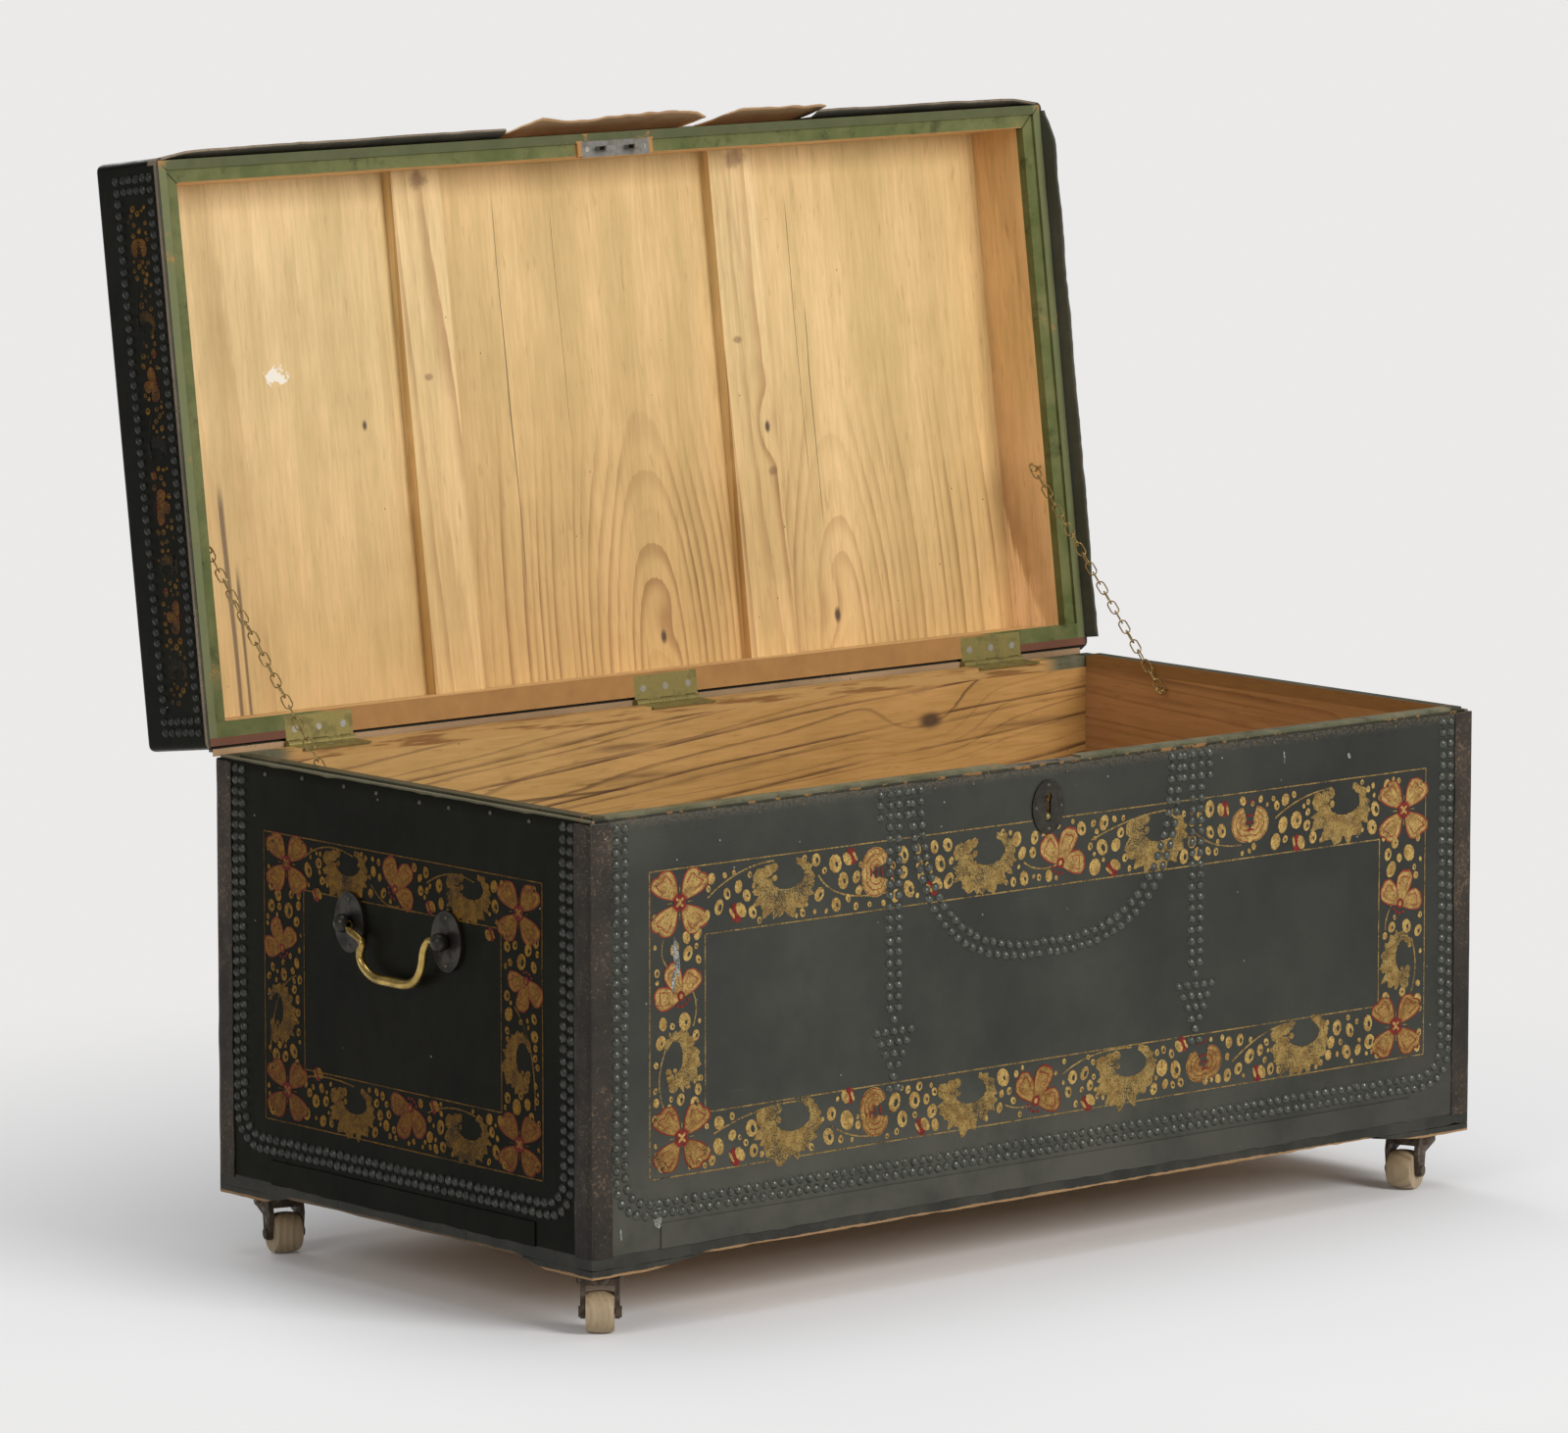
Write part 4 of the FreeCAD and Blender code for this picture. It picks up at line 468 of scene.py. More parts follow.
side_rail_wood = camphor("camphor_lid_ends", "zyx", (0.30, 0.5, 0.05), (0.90, 0.63, 0.33), WARM_DEEP,
                         0.65, 0.016, 0.05, dim_along=(0.22, -0.05), on_lid=True)
dress(side_rail_wood, "lid_left_rail", "lid_right_rail")
long_rail_wood = camphor("camphor_lid_rails", "zxy", (0.62, 0.2, 0.02), WARM_PALE, WARM_DEEP, 0.6, 0.01,
                         0.02, on_lid=True)
dress(long_rail_wood, "lid_front_rail", "lid_back_rail")
back_wood = camphor("camphor_back", "zxy", (-0.60, 0.02, 0.0), (0.575, 0.340, 0.116), DARK_DEEP,
                    0.80, 0.012, 0.06, slant=0.08, dim_along=(-0.30, 0.25), knots=((0.383, 0.291, 0.010),),
                    cracks=((0.36, -0.4, -0.05, 0.0012),), sharp=0.80, streaks=1.0, veins=1.0)
dress(back_wood, "back_board")
front_wood = camphor("camphor_front", "zxy", (-0.62, 0.03, 0.02), (0.58, 0.36, 0.15), WARM_DEEP,
                     0.7, 0.016, 0.05, slant=-0.04)
dress(front_wood, "front_board")
end_wood = camphor("camphor_ends", "zyx", (-0.60, 0.02, 0.05), (0.42, 0.21, 0.076),
                   (0.22, 0.095, 0.034), 0.8, 0.018, 0.05, slant=0.05, knots=((0.402, -0.159, 0.008),),
                   sharp=0.6, veins=0.55)
dress(end_wood, "left_end_board", "right_end_board")
print("camphor finishes", len([m for m in bpy.data.materials if m.name.startswith("camphor")]))

# %% [markdown]
# ## Painted rims
# The mating rims of box and lid are strips of wood painted green. The lid's rim keeps a strong green, with
# a bare reddish stretch between the outer hinges. The box's rim is dusty and rubbed down to grey-green, and
# its outer side shows raw orange wood where the leather's edge has worn back.


# %% Green paint
STRIKE_LOW, STRIKE_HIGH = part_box("strike_plate")
STRIKE_MIDDLE = (STRIKE_LOW[0] + STRIKE_HIGH[0]) / 2.0
STRIKE_HALF = (STRIKE_HIGH[0] - STRIKE_LOW[0]) / 2.0
STEP = 0.0003
LID_BAND_END = 0.4943
LID_BAND_FRONT = -0.2423
BOX_END_SIDE = 0.4971
BOX_LONG_SIDE = 0.2451
LIP_IN = 0.4800
LIP_OUT = 0.4938


def mitre_line(aside, along, corner):
    """Light level of one, dropping in the dark joint of the two front mitres."""
    side = corner[0] - aside
    ahead = along - corner[1]
    apart = abs(side - ahead)
    return spread(apart, 0.0003, 0.0012, 0.15, 1.0)


def green_paint(name, fresh, dusty, bare, bare_share, on_lid=False):
    """Old oil paint on wood: two greens in long brush marks, rubbed through to bare wood."""
    finish, place = start_finish(name, gloss=0.14)
    if on_lid:
        place = shut_place(place)
    brush = cloud(stretch(place, (0.12, 0.12, 1.0)), 420.0, 3.0)
    blotch = cloud(place, 22.0, 4.0, 0.65)
    frayed = spread(cloud(place, 75.0, 4.0, 0.7), 0.54, 0.61, 0.0, 0.85)
    grit = cloud(place, 900.0, 2.0)
    colour = mix_tones(spread(blotch, 0.35, 0.7), fresh, dusty)
    colour = mix_tones(spread(brush, 0.35, 0.8, 0.0, 0.45), colour, dusty)
    colour = dimmed(colour, spread(cloud(place, 48.0, 4.0, 0.7), 0.52, 0.72, 1.0, 0.55))
    split = add_node("SeparateXYZ", {0: place})
    aside = abs(split[0])
    rubbed = spread(blotch + grit * 0.25, bare_share, bare_share + 0.06)
    if on_lid:
        end_band = spread(aside, LID_BAND_END, LID_BAND_END + STEP)
        outer_band = largest(end_band, fall(split[1], LID_BAND_FRONT - STEP, LID_BAND_FRONT))
        dull = mix_tones(brush, (0.058, 0.066, 0.03), (0.1, 0.102, 0.05))
        dull = mix_tones(end_band, dull, (0.15, 0.16, 0.074))
        colour = mix_tones(outer_band * 0.8, colour, dull)
        colour = mix_tones(spread(split[1], 0.2384, 0.2388), colour, RED_WOOD)
        hinge_stretch = fall(aside, 0.372, 0.392) * spread(split[1], 0.222, 0.226)
        corner = from_point(aside, split[1], (0.502, -0.25), 1.0) + blotch * 0.03
        corner = fall(corner, 0.014, 0.024)
        inner_edge = between(split[1], -0.231, -0.224) * fall(aside, 0.481, 0.4814)
        from_strike = abs(split[0] - STRIKE_MIDDLE)
        beside_strike = between(from_strike, STRIKE_HALF - 0.001, STRIKE_HALF + 0.005)
        pads = beside_strike * between(split[1], -0.244, -0.231)
        rubbed = largest(rubbed, hinge_stretch, corner, inner_edge, pads)
        colour = dimmed(colour, mitre_line(aside, split[1], (0.5025, -0.2505)))
    else:
        on_end = spread(aside, BOX_END_SIDE, BOX_END_SIDE + STEP)
        outside = largest(on_end, spread(abs(split[1]), BOX_LONG_SIDE, BOX_LONG_SIDE + STEP))
        colour = mix_tones(outside * 0.85, colour, (0.03, 0.026, 0.018))
        back_strip = fall(aside, 0.425, 0.45) * spread(split[1], 0.218, 0.2186)
        # Painted shade: the lip of the rim on the ends is darkened to 0.42.
        end_lip_shade = between(aside, LIP_IN, LIP_OUT)
        colour = dimmed(colour, spread(end_lip_shade, 0.0, 1.0, 1.0, 0.42))
        end_ledge = spread(aside, LIP_OUT, LIP_OUT + 0.0004) * 0.75
        colour = mix_tones(end_ledge, colour, (0.215, 0.19, 0.128))
        colour = mix_tones(on_end * spread(brush, 0.3, 0.6, 0.2, 0.9), colour, shaded(dusty, 1.1))
        frayed *= spread(on_end, 0.0, 1.0, 1.0, 0.2)
        end_face = between(aside, LIP_IN, LIP_IN + 0.00165) * fall(abs(split[1]), 0.229, 0.2294)
        front_face = between(split[1], -0.22965, -0.228)
        rubbed *= spread(aside, LIP_IN, LIP_IN + 0.0006, 1.0, 0.15)
        rubbed = largest(rubbed, outside * frayed, end_face, front_face)
        colour = dimmed(colour, mitre_line(aside, split[1], (0.4975, -0.2455)))
    bare_wood = mix_tones(brush, bare, shaded(bare, 0.62))
    colour = mix_tones(rubbed, colour, bare_wood)
    if not on_lid:
        line = cloud(stretch(place, (0.07, 1.0, 1.0)), 170.0, 3.0, 0.6)
        plain = mix_tones(spread(line, 0.48, 0.62), (0.5, 0.295, 0.105), (0.26, 0.125, 0.042))
        colour = mix_tones(back_strip, colour, plain)
    height = brush - rubbed
    wire(colour, spread(blotch, 0.3, 0.7, 0.42, 0.62), height, 0.25, 0.0004)
    return finish


RED_WOOD = (0.150, 0.062, 0.036)
BARE_RIM = (0.36, 0.185, 0.062)
lid_green = green_paint("green_lid_rim", (0.090, 0.108, 0.032), (0.160, 0.160, 0.060),
                        (0.46, 0.235, 0.078), 0.78, True)
box_green = green_paint("green_box_rim", (0.09, 0.092, 0.05), (0.19, 0.178, 0.112), BARE_RIM, 0.76)
dress(lid_green, "lid_rim")
dress(box_green, "base_rim")
print("rim paints", lid_green.name, box_green.name)

# %% [markdown]
# ## Metals
# Old brass goes olive where nobody touches it and stays bright where hands rub. The plates and studs have
# gone dark, the lock is grey steel and the casters are rusty iron. One recipe serves them all: two tones
# in cloudy patches, fine pitting in the bump, and a roughness that follows the patches.


# %% Metals
def old_metal(name, bright, dull, shine=0.35, metallic=0.85, patch_scale=60.0, dull_share=0.5,
              pitted=0.5):
    """Metal with a patina in patches."""
    finish, place = start_finish(name, shine, metallic)
    patch = cloud(place, patch_scale, 4.0, 0.65)
    pits = cloud(place, 1400.0, 2.0)
    share = spread(patch, dull_share - 0.18, dull_share + 0.18)
    colour = mix_tones(share, bright, dull)
    colour = mix_tones(spread(pits, 0.6, 0.8, 0.0, pitted), colour, shaded(dull, 0.35))
    height = patch * 0.6 + pits * 0.4
    wire(colour, spread(share, 0.0, 1.0, shine * 0.75, shine * 1.35), height, 0.3, 0.0003)
    return finish


hinge_brass = old_metal("olive_brass", (0.33, 0.265, 0.085), (0.17, 0.14, 0.045), 0.45, 0.65)
chain_brass = old_metal("chain_brass", (0.40, 0.29, 0.115), (0.19, 0.13, 0.05), 0.34, 0.85, 160.0)
bail_brass = old_metal("bail_brass", (0.6, 0.42, 0.125), (0.22, 0.14, 0.04), 0.24, 0.9, 38.0, pitted=0.3)
stud_bronze = old_metal("stud_bronze", (0.105, 0.108, 0.087), (0.04, 0.042, 0.034), 0.34, 0.5, 240.0)
# A darker copy of the front studs' metal for the ends: painted shade.
end_stud_painted_shade = old_metal("end_stud_painted_shade", (0.058, 0.058, 0.048), (0.022, 0.022, 0.018), 0.36, 0.45, 240.0)
black_stud = old_metal("black_stud", (0.030, 0.029, 0.024), (0.012, 0.012, 0.010), 0.34, 0.5, 240.0)
plate_bronze = old_metal("plate_bronze", (0.04, 0.034, 0.025), (0.015, 0.014, 0.011), 0.4, 0.6, 90.0)
pin_bronze = old_metal("pin_bronze", (0.115, 0.100, 0.068), (0.045, 0.040, 0.028), 0.36, 0.6, 160.0)
lock_steel = old_metal("lock_steel", (0.25, 0.24, 0.215), (0.15, 0.135, 0.112), 0.45, 0.75, 70.0,
                       pitted=0.12)
screw_steel = old_metal("screw_steel", (0.62, 0.60, 0.54), (0.30, 0.27, 0.20), 0.33, 0.9, 160.0)
caster_iron = old_metal("caster_iron", (0.115, 0.085, 0.058), (0.05, 0.034, 0.024), 0.55, 0.5, 110.0)
dress(hinge_brass, "hinge_base_leaves", "hinge_lid_leaves", "hinge_pins")
dress(screw_steel, "hinge_base_screws", "lid_screws")
dress(chain_brass, "chain_base_eyes", "chain_lid_eyes")
dress(pin_bronze, "brass_pins")
dress(bail_brass, "left_bail", "right_bail")
dress(plate_bronze, "escutcheon", "left_handle_plates", "right_handle_plates")
dress(lock_steel, "lock_case", "lock_selvage", "lock_bolt", "strike_plate")
CORNERS = ("front_left", "front_right", "back_left", "back_right")
dress(caster_iron, "caster_plates", "caster_screws", *[f"caster_fork_{corner}" for corner in CORNERS])
print("metals done for", len(CORNERS), "casters")

# %% [markdown]
# ## Caster wheels
# The wheels are turned from pale wood and have gone grey and scuffed on the floor. Their finish is the same
# camphor recipe with a tight ring and greyer tones.

# %% Wheel wood
wheel_wood = camphor("wheel_wood", "xzy", (0.0, 0.3, 0.02), (0.4, 0.3, 0.185),
                     (0.17, 0.115, 0.07), 0.7, 0.005, 0.02)
dress(wheel_wood, *[f"caster_wheel_{corner}" for corner in CORNERS])
print("wheels in", wheel_wood.name)

# %% [markdown]
# ## Leather finishes
# The leather was pasted on wet and painted green-black, so it is stiff and thin-skinned rather than soft.
# Up close it has fine pores, dull scuffs, pale specks of dust and edges worn to brown. All of this is
# written on the piece's own coordinates, so that it stays in place from every side.


# %% Leathers
def leather(name, dark, scuffed, worn, worn_share=0.80, shine=0.42, grain=900.0, gloss=0.25, dusty=0.0):
    """Painted leather: mottled tone, scuffs, scratches, specks, worn spots, dust below and a pored grain."""
    finish, place = start_finish(name, shine, gloss=gloss)
    split = add_node("SeparateXYZ", {0: place})
    broad = cloud(place, 3.2, 4.0, 0.6)
    mottle = cloud(place, 11.0, 5.0, 0.65)
    scuff = cloud(stretch(place, (1.0, 1.0, 0.35)), 95.0, 4.0, 0.65)
    fine = cloud(place, 420.0, 3.0, 0.6)
    scratch = cloud(stretch(place, (0.06, 0.06, 1.0)), 800.0, 2.0)
    pores = add_node("TexVoronoi", {"Vector": place, "Scale": grain, "Randomness": 0.9},
                     feature="DISTANCE_TO_EDGE")["Distance"]
    colour = mix_tones(spread(mottle, 0.3, 0.75), dark, scuffed)
    colour = mix_tones(spread(scuff, 0.55, 0.85, 0.0, 0.55), colour, scuffed)
    colour = dimmed(colour, spread(broad, 0.3, 0.68, 0.76, 1.22))
    colour = mix_tones(spread(scratch, 0.66, 0.76, 0.0, 0.4), colour, shaded(scuffed, 1.8))
    rubbed = mottle * 0.35 + fine * 0.65
    colour = mix_tones(spread(rubbed, worn_share - 0.16, worn_share), colour, worn)
    if dusty:
        film = spread(split[2], 0.085, 0.2, dusty, 0.0) * spread(mottle, 0.3, 0.62, 0.35, 1.0)
        colour = mix_tones(film, colour, DUST_TONE)
        # Besides the dust: darker towards the right end, and up to a fifth lighter just below the top edge.
        colour = dimmed(colour, spread(split[0], -0.1, 0.4, 1.04, 0.68))
        colour = dimmed(colour, spread(split[2], 0.37, 0.41, 1.0, 1.2))
        top_edge = between(split[2], 0.4215, 0.426, 0.008) * spread(fine, 0.42, 0.6, 0.0, 0.7)
        colour = mix_tones(top_edge, colour, worn)
    colour = mix_tones(specks(place, 44.0, 0.02, 0.046, 0.75, 0.5), colour, PALE_SPECK)
    height = spread(pores, 0.0, 0.12) + scuff * 0.8
    wire(colour, spread(scuff, 0.3, 0.75, shine * 0.8, shine * 1.35), height, 0.18, 0.0003)
    return finish


DUST_TONE = (0.072, 0.068, 0.052)
PALE_SPECK = (0.34, 0.32, 0.27)
dark_leather = leather("dark_leather", (0.023, 0.024, 0.018), (0.036, 0.037, 0.028),
                       (0.095, 0.072, 0.044), 0.84, dusty=0.75)
# A much darker copy of the same leather for the back, the ends and the lid's ends: painted shade.
end_leather_painted_shade = leather("end_leather_painted_shade", (0.0040, 0.0040, 0.0016), (0.0080, 0.0078, 0.0038),
                      (0.040, 0.032, 0.018), 0.84, 0.34, 900.0, 0.055)
binding_leather = leather("binding_leather", (0.011, 0.0085, 0.006), (0.038, 0.028, 0.019),
                          (0.125, 0.080, 0.047), 0.69, 0.5)
frayed_leather = leather("frayed_leather", (0.15, 0.115, 0.075), (0.30, 0.235, 0.16),
                         (0.045, 0.030, 0.020), 0.68, 0.6)
# A paler leather for the inner side of the lid cap, where the curled front edge lies in shade: painted light,
# with brown worn patches.
worn_leather_painted_light = leather("worn_leather_painted_light", (0.042, 0.040, 0.030), (0.074, 0.068, 0.050),
                       (0.20, 0.125, 0.062), 0.70, 0.55)
skirt_leather = leather("skirt_leather", (0.062, 0.064, 0.046), (0.098, 0.100, 0.072),
                        (0.30, 0.24, 0.15), 0.74, 0.5)
raw_leather = leather("raw_leather", (0.35, 0.215, 0.110), (0.46, 0.295, 0.158),
                      (0.17, 0.085, 0.035), 0.72, 0.65, 1300.0)
print("leathers", [finish.name for finish in bpy.data.materials if "leather" in finish.name])

# %% [markdown]
# ## Keeping a piece
# Each new piece is built in a bmesh, written to a mesh and, when a body is given, tied to the body of the
# frame it moves with. One helper does this for every piece.


# %% Piece helpers
WELD = 1e-6
TINY = 1e-5
AT_EDGE = 0.49


def keep_piece(name, shape, finishes, body, stands_for=(), sharp=38.0):
    """Turn a bmesh into a piece of the chest, riding on a body of the frame when one is given."""
    mesh = bpy.data.meshes.new(name)
    shape.to_mesh(mesh)
    shape.free()
    for finish in finishes:
        mesh.materials.append(finish)
    mesh.shade_smooth()
    mesh.set_sharp_from_angle(angle=math.radians(sharp))
    piece = bpy.data.objects.new(name, mesh)
    bpy.context.scene.collection.objects.link(piece)
    if body:
        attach(piece, body)
    if stands_for:
        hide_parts(*stands_for)
    print(name, "has", len(mesh.polygons), "faces")
    return piece


def thicken(piece, deep, inwards=True, edge=0.0):
    """Give a sheet its thickness with a modifier, and ease its cut edge."""
    solid = piece.modifiers.new("thickness", "SOLIDIFY")
    solid.thickness = deep
    solid.offset = -1.0 if inwards else 1.0
    if edge > 0.0:
        round_edge = piece.modifiers.new("eased_edge", "BEVEL")
        round_edge.width = edge
        round_edge.segments = 2
        round_edge.limit_method = "ANGLE"
        round_edge.angle_limit = math.radians(50.0)
    even = piece.modifiers.new("even_shading", "WEIGHTED_NORMAL")
    even.keep_sharp = True


def sheet(cells_across, cells_up):
    """A flat grid one metre square, as a new shape."""
    shape = bmesh.new()
    bmesh.ops.create_grid(shape, x_segments=cells_across, y_segments=cells_up, size=0.5)
    return shape


def move(shape, matrix):
    """Move a whole shape by a matrix."""
    bmesh.ops.transform(shape, matrix=matrix, verts=shape.verts)


def cleaned_mesh(name, shape):
    """Weld a shape, turn its faces outwards and keep it as a mesh to copy."""
    bmesh.ops.remove_doubles(shape, verts=shape.verts, dist=WELD)
    bmesh.ops.recalc_face_normals(shape, faces=shape.faces)
    mesh = bpy.data.meshes.new(name)
    shape.to_mesh(mesh)
    shape.free()
    return mesh


def cut_across(shape, axis, point):
    """Cut a shape with one plane across an axis."""
    normal = Vector((0.0, 0.0, 0.0))
    normal[axis] = 1.0
    geometry = shape.verts[:] + shape.edges[:] + shape.faces[:]
    bmesh.ops.bisect_plane(shape, geom=geometry, plane_co=point, plane_no=normal, dist=WELD)


def join_shapes(shapes):
    """Several bmeshes as one."""
    whole = bmesh.new()
    for shape in shapes:
        part = bpy.data.meshes.new("part")
        shape.to_mesh(part)
        shape.free()
        whole.from_mesh(part)
        bpy.data.meshes.remove(part)
    return whole


def slice_up(shape, axis, places):
    """Cut a shape with a row of planes across one axis."""
    for place in places:
        point = Vector((0.0, 0.0, 0.0))
        point[axis] = place
        cut_across(shape, axis, point)


def steps_between(low, high, count):
    """Evenly spaced places strictly between two ends."""
    return [low + (high - low) * step / count for step in range(1, count)]


def ripple(*place):
    """Smooth noise at a place, from about -1 to 1."""
    return noise.noise(Vector(place))


def ragged(place, size, fineness, seed):
    """Uneven wear along an edge: slow waves, small tears and fine nibbling."""
    slow = ripple(place * fineness * 0.25, seed, 0.3)
    quick = ripple(place * fineness, seed, 7.1)
    fine = ripple(place * fineness * 4.0, seed, 3.7)
    return size * (0.45 * slow + 0.40 * quick + 0.25 * fine)


# %% [markdown]
# ## Sides of the chest
# The leather panels and the painting are easier to plan flat. Each side of the chest gets a matrix from a
# flat plan to the world: across, up and out. A panel is a grid in that plan, swelled a little by the board
# behind it, and its top edge is nibbled by wear. The Solidify modifier gives it the thickness of the hide.

# %% Side matrices
HALF_LONG = 0.500
HALF_DEEP = 0.248


def side_plan(across, out, origin):
    """Matrix that takes (across, up, out) in a flat plan to the world."""
    up = out.cross(across)
    return Matrix.Translation(origin) @ Matrix((across, up, out)).transposed().to_4x4()


X_WAY = Vector((1.0, 0.0, 0.0))
Y_WAY = Vector((0.0, 1.0, 0.0))
SIDES = {
    "front": side_plan(X_WAY, -Y_WAY, Vector((0.0, -HALF_DEEP, 0.0))),
    "back": side_plan(-X_WAY, Y_WAY, Vector((0.0, HALF_DEEP, 0.0))),
    "left": side_plan(-Y_WAY, -X_WAY, Vector((-HALF_LONG, 0.0, 0.0))),
    "right": side_plan(Y_WAY, X_WAY, Vector((HALF_LONG, 0.0, 0.0))),
}
SIDE_SEED = {"front": 1.0, "back": 2.0, "left": 3.0, "right": 4.0}


def swell(side, across, up):
    """How far the leather stands out from its flat plane, in metres."""
    seed = SIDE_SEED[side]
    slow = ripple(across * 7.0, up * 9.0, seed)
    quick = ripple(across * 28.0, up * 30.0, seed + 5.0)
    return 0.00035 * slow + 0.00012 * quick


print("sides", list(SIDES))

# %% [markdown]
# ## Leather panels
# The front panel needs the keyhole left open behind its plate. Four cuts with the bisect operator put edges
# round the opening, and the faces inside it are deleted.

# %% Leather panels
PANEL_LOW = 0.068
PANEL_TOP = 0.424
PANEL_CELL = 0.0105
KEY_PLACE = (-0.003, 0.3885)
KEY_OPENING = (0.009, 0.015)
PANEL_THICK = 0.0022
END_IN = 0.0025


def cut_opening(shape, middle, half):
    """Cut a small rectangle out of a flat grid."""
    for axis, way in ((0, -1.0), (0, 1.0), (1, -1.0), (1, 1.0)):
        point = Vector((middle[0], middle[1], 0.0))
        point[axis] += way * half[axis]
        cut_across(shape, axis, point)
    inside = []
    for face in shape.faces:
        middle_point = face.calc_center_median()
        if abs(middle_point.x - middle[0]) < half[0] and abs(middle_point.y - middle[1]) < half[1]:
            inside.append(face)
    bmesh.ops.delete(shape, geom=inside, context="FACES")


def leather_panel(side, half_wide, finish):
    """One side's leather, with worn edges and a slight swell."""
    high = PANEL_TOP - PANEL_LOW
    shape = sheet(round(2.0 * half_wide / PANEL_CELL), round(high / PANEL_CELL))
    bmesh.ops.scale(shape, vec=(2.0 * half_wide, high, 1.0), verts=shape.verts)
    bmesh.ops.translate(shape, vec=(0.0, PANEL_LOW + high / 2.0, 0.0), verts=shape.verts)
    for vert in shape.verts:
        if vert.co.y > PANEL_TOP - TINY:
            vert.co.y -= 0.0006 + abs(ragged(vert.co.x, 0.0032, 55.0, SIDE_SEED[side]))
        if vert.co.y < PANEL_LOW + TINY:
            vert.co.y -= abs(ragged(vert.co.x, 0.0022, 35.0, SIDE_SEED[side] + 9.0))
    if side == "front":
        cut_opening(shape, KEY_PLACE, KEY_OPENING)
    for vert in shape.verts:
        vert.co.z = swell(side, vert.co.x, vert.co.y)
    move(shape, SIDES[side])
    piece = keep_piece(f"{side}_panel", shape, [finish], "chest", [f"leather_{side}"])
    thicken(piece, PANEL_THICK)


leather_panel("front", HALF_LONG, dark_leather)
# The back and the ends take the darker leather copy: painted shade.
leather_panel("back", HALF_LONG, end_leather_painted_shade)
for side in ("left", "right"):
    leather_panel(side, HALF_DEEP - END_IN, end_leather_painted_shade)


# %% [markdown]
# ## Corner bindings and skirt strips
# A strip of leather is folded round each upright corner, and a low band runs along the foot of each side.
# A binding could be an extruded angle, but its fold is soft. So it is a grid whose across direction walks
# round a small quarter circle, with edges that wander by a millimetre.

# %% Corner bindings
BINDING_WIDE = 0.022
BINDING_DEEP = 0.0012
STRIP_THICK = 0.0014
STRIP_EDGE = 0.0003
FOLD_ROUND = 0.004


def round_the_fold(walk, radius):
    """Point on a rounded right angle, walk metres from the middle of its bend."""
    half = radius * math.pi / 4.0
    if walk > half:
        return radius + walk - half, 0.0
    if walk < -half:
        return 0.0, radius - walk - half
    turn = (walk / half + 1.0) * math.pi / 4.0
    return radius - radius * math.cos(turn), radius - radius * math.sin(turn)


def face_outwards(shape, middle):
    """Turn a sheet's faces so that they look away from a point."""
    looking = sum(face.normal.dot(face.calc_center_median() - middle) for face in shape.faces)
    if looking < 0.0:
        bmesh.ops.reverse_faces(shape, faces=shape.faces)


def corner_binding(side, end):
    """A folded strip of leather on one upright corner."""
    reach = BINDING_WIDE - FOLD_ROUND + FOLD_ROUND * math.pi / 4.0
    low = PANEL_LOW - 0.001
    high = PANEL_TOP - 0.0015
    shape = sheet(14, 60)
    seed = 20.0 + side * 2.0 + end
    for vert in shape.verts:
        up = low + (vert.co.y + 0.5) * (high - low)
        walk = vert.co.x * 2.0 * reach
        if abs(vert.co.x) > AT_EDGE:
            walk += ragged(up, 0.0016, 60.0, seed + vert.co.x)
        if abs(vert.co.y) > AT_EDGE:
            up -= abs(ragged(walk, 0.003, 120.0, seed))
        leg_x, leg_y = round_the_fold(walk, FOLD_ROUND)
        proud = BINDING_DEEP + 0.0004 * ripple(walk * 90.0, up * 30.0, seed)
        vert.co = (side * (HALF_LONG + proud - leg_x), end * (HALF_DEEP + proud - leg_y), up)
    shape.normal_update()
    face_outwards(shape, Vector((0.0, 0.0, 0.25)))
    return shape


bindings = join_shapes([corner_binding(side, end) for side in (-1, 1) for end in (-1, 1)])
bindings_piece = keep_piece("bindings", bindings, [binding_leather], "chest",
                            ["corner_bindings"])
thicken(bindings_piece, STRIP_THICK, edge=STRIP_EDGE)

# %% Skirt strips
SKIRT_TOP = 0.088
SKIRT_IN = 0.072
SKIRT_CELL = 0.009
SKIRT_THICK = 0.0013


def skirt_strip(side, half_wide):
    """The low band of leather on one side."""
    shape = sheet(round(half_wide * 2.0 / SKIRT_CELL), 3)
    for vert in shape.verts:
        across = vert.co.x * 2.0 * half_wide
        up = PANEL_LOW + (vert.co.y + 0.5) * (SKIRT_TOP - PANEL_LOW)
        if vert.co.y < -AT_EDGE:
            up -= 0.001 + ragged(across, 0.0030, 45.0, SIDE_SEED[side] + 31.0)
        if vert.co.y > AT_EDGE:
            up += ragged(across, 0.0008, 25.0, SIDE_SEED[side] + 33.0)
        vert.co = (across, up, BINDING_DEEP + swell(side, across, up))
    for face in shape.faces:
        # Every strip but the front's takes the darker leather copy: painted shade.
        face.material_index = 0 if side == "front" else 1
    move(shape, SIDES[side])
    return shape


SKIRT_HALVES = {"front": HALF_LONG, "back": HALF_LONG, "left": HALF_DEEP, "right": HALF_DEEP}
skirts = join_shapes([skirt_strip(side, half - SKIRT_IN) for side, half in SKIRT_HALVES.items()])
skirts_piece = keep_piece("foot_strips", skirts, [dark_leather, end_leather_painted_shade], "chest",
                          ["skirt_strips"])
thicken(skirts_piece, SKIRT_THICK, edge=STRIP_EDGE)

# %% [markdown]
# ## Bottom planks and corner blocks
# Three planks close the bottom, with a block under each corner. Their outer edges are painted like the
# leather, and years of dragging have chipped the lower edge to bare wood. Each plank is a cube cut into short
# cells, so that its lower edge can be nibbled; the blocks slope away from the corner.

# %% Foot paint
PLANK_LOW = 0.057
BLOCK_LOW = 0.050
BLOCK_LONG = 0.115
BLOCK_DEEP = 0.090


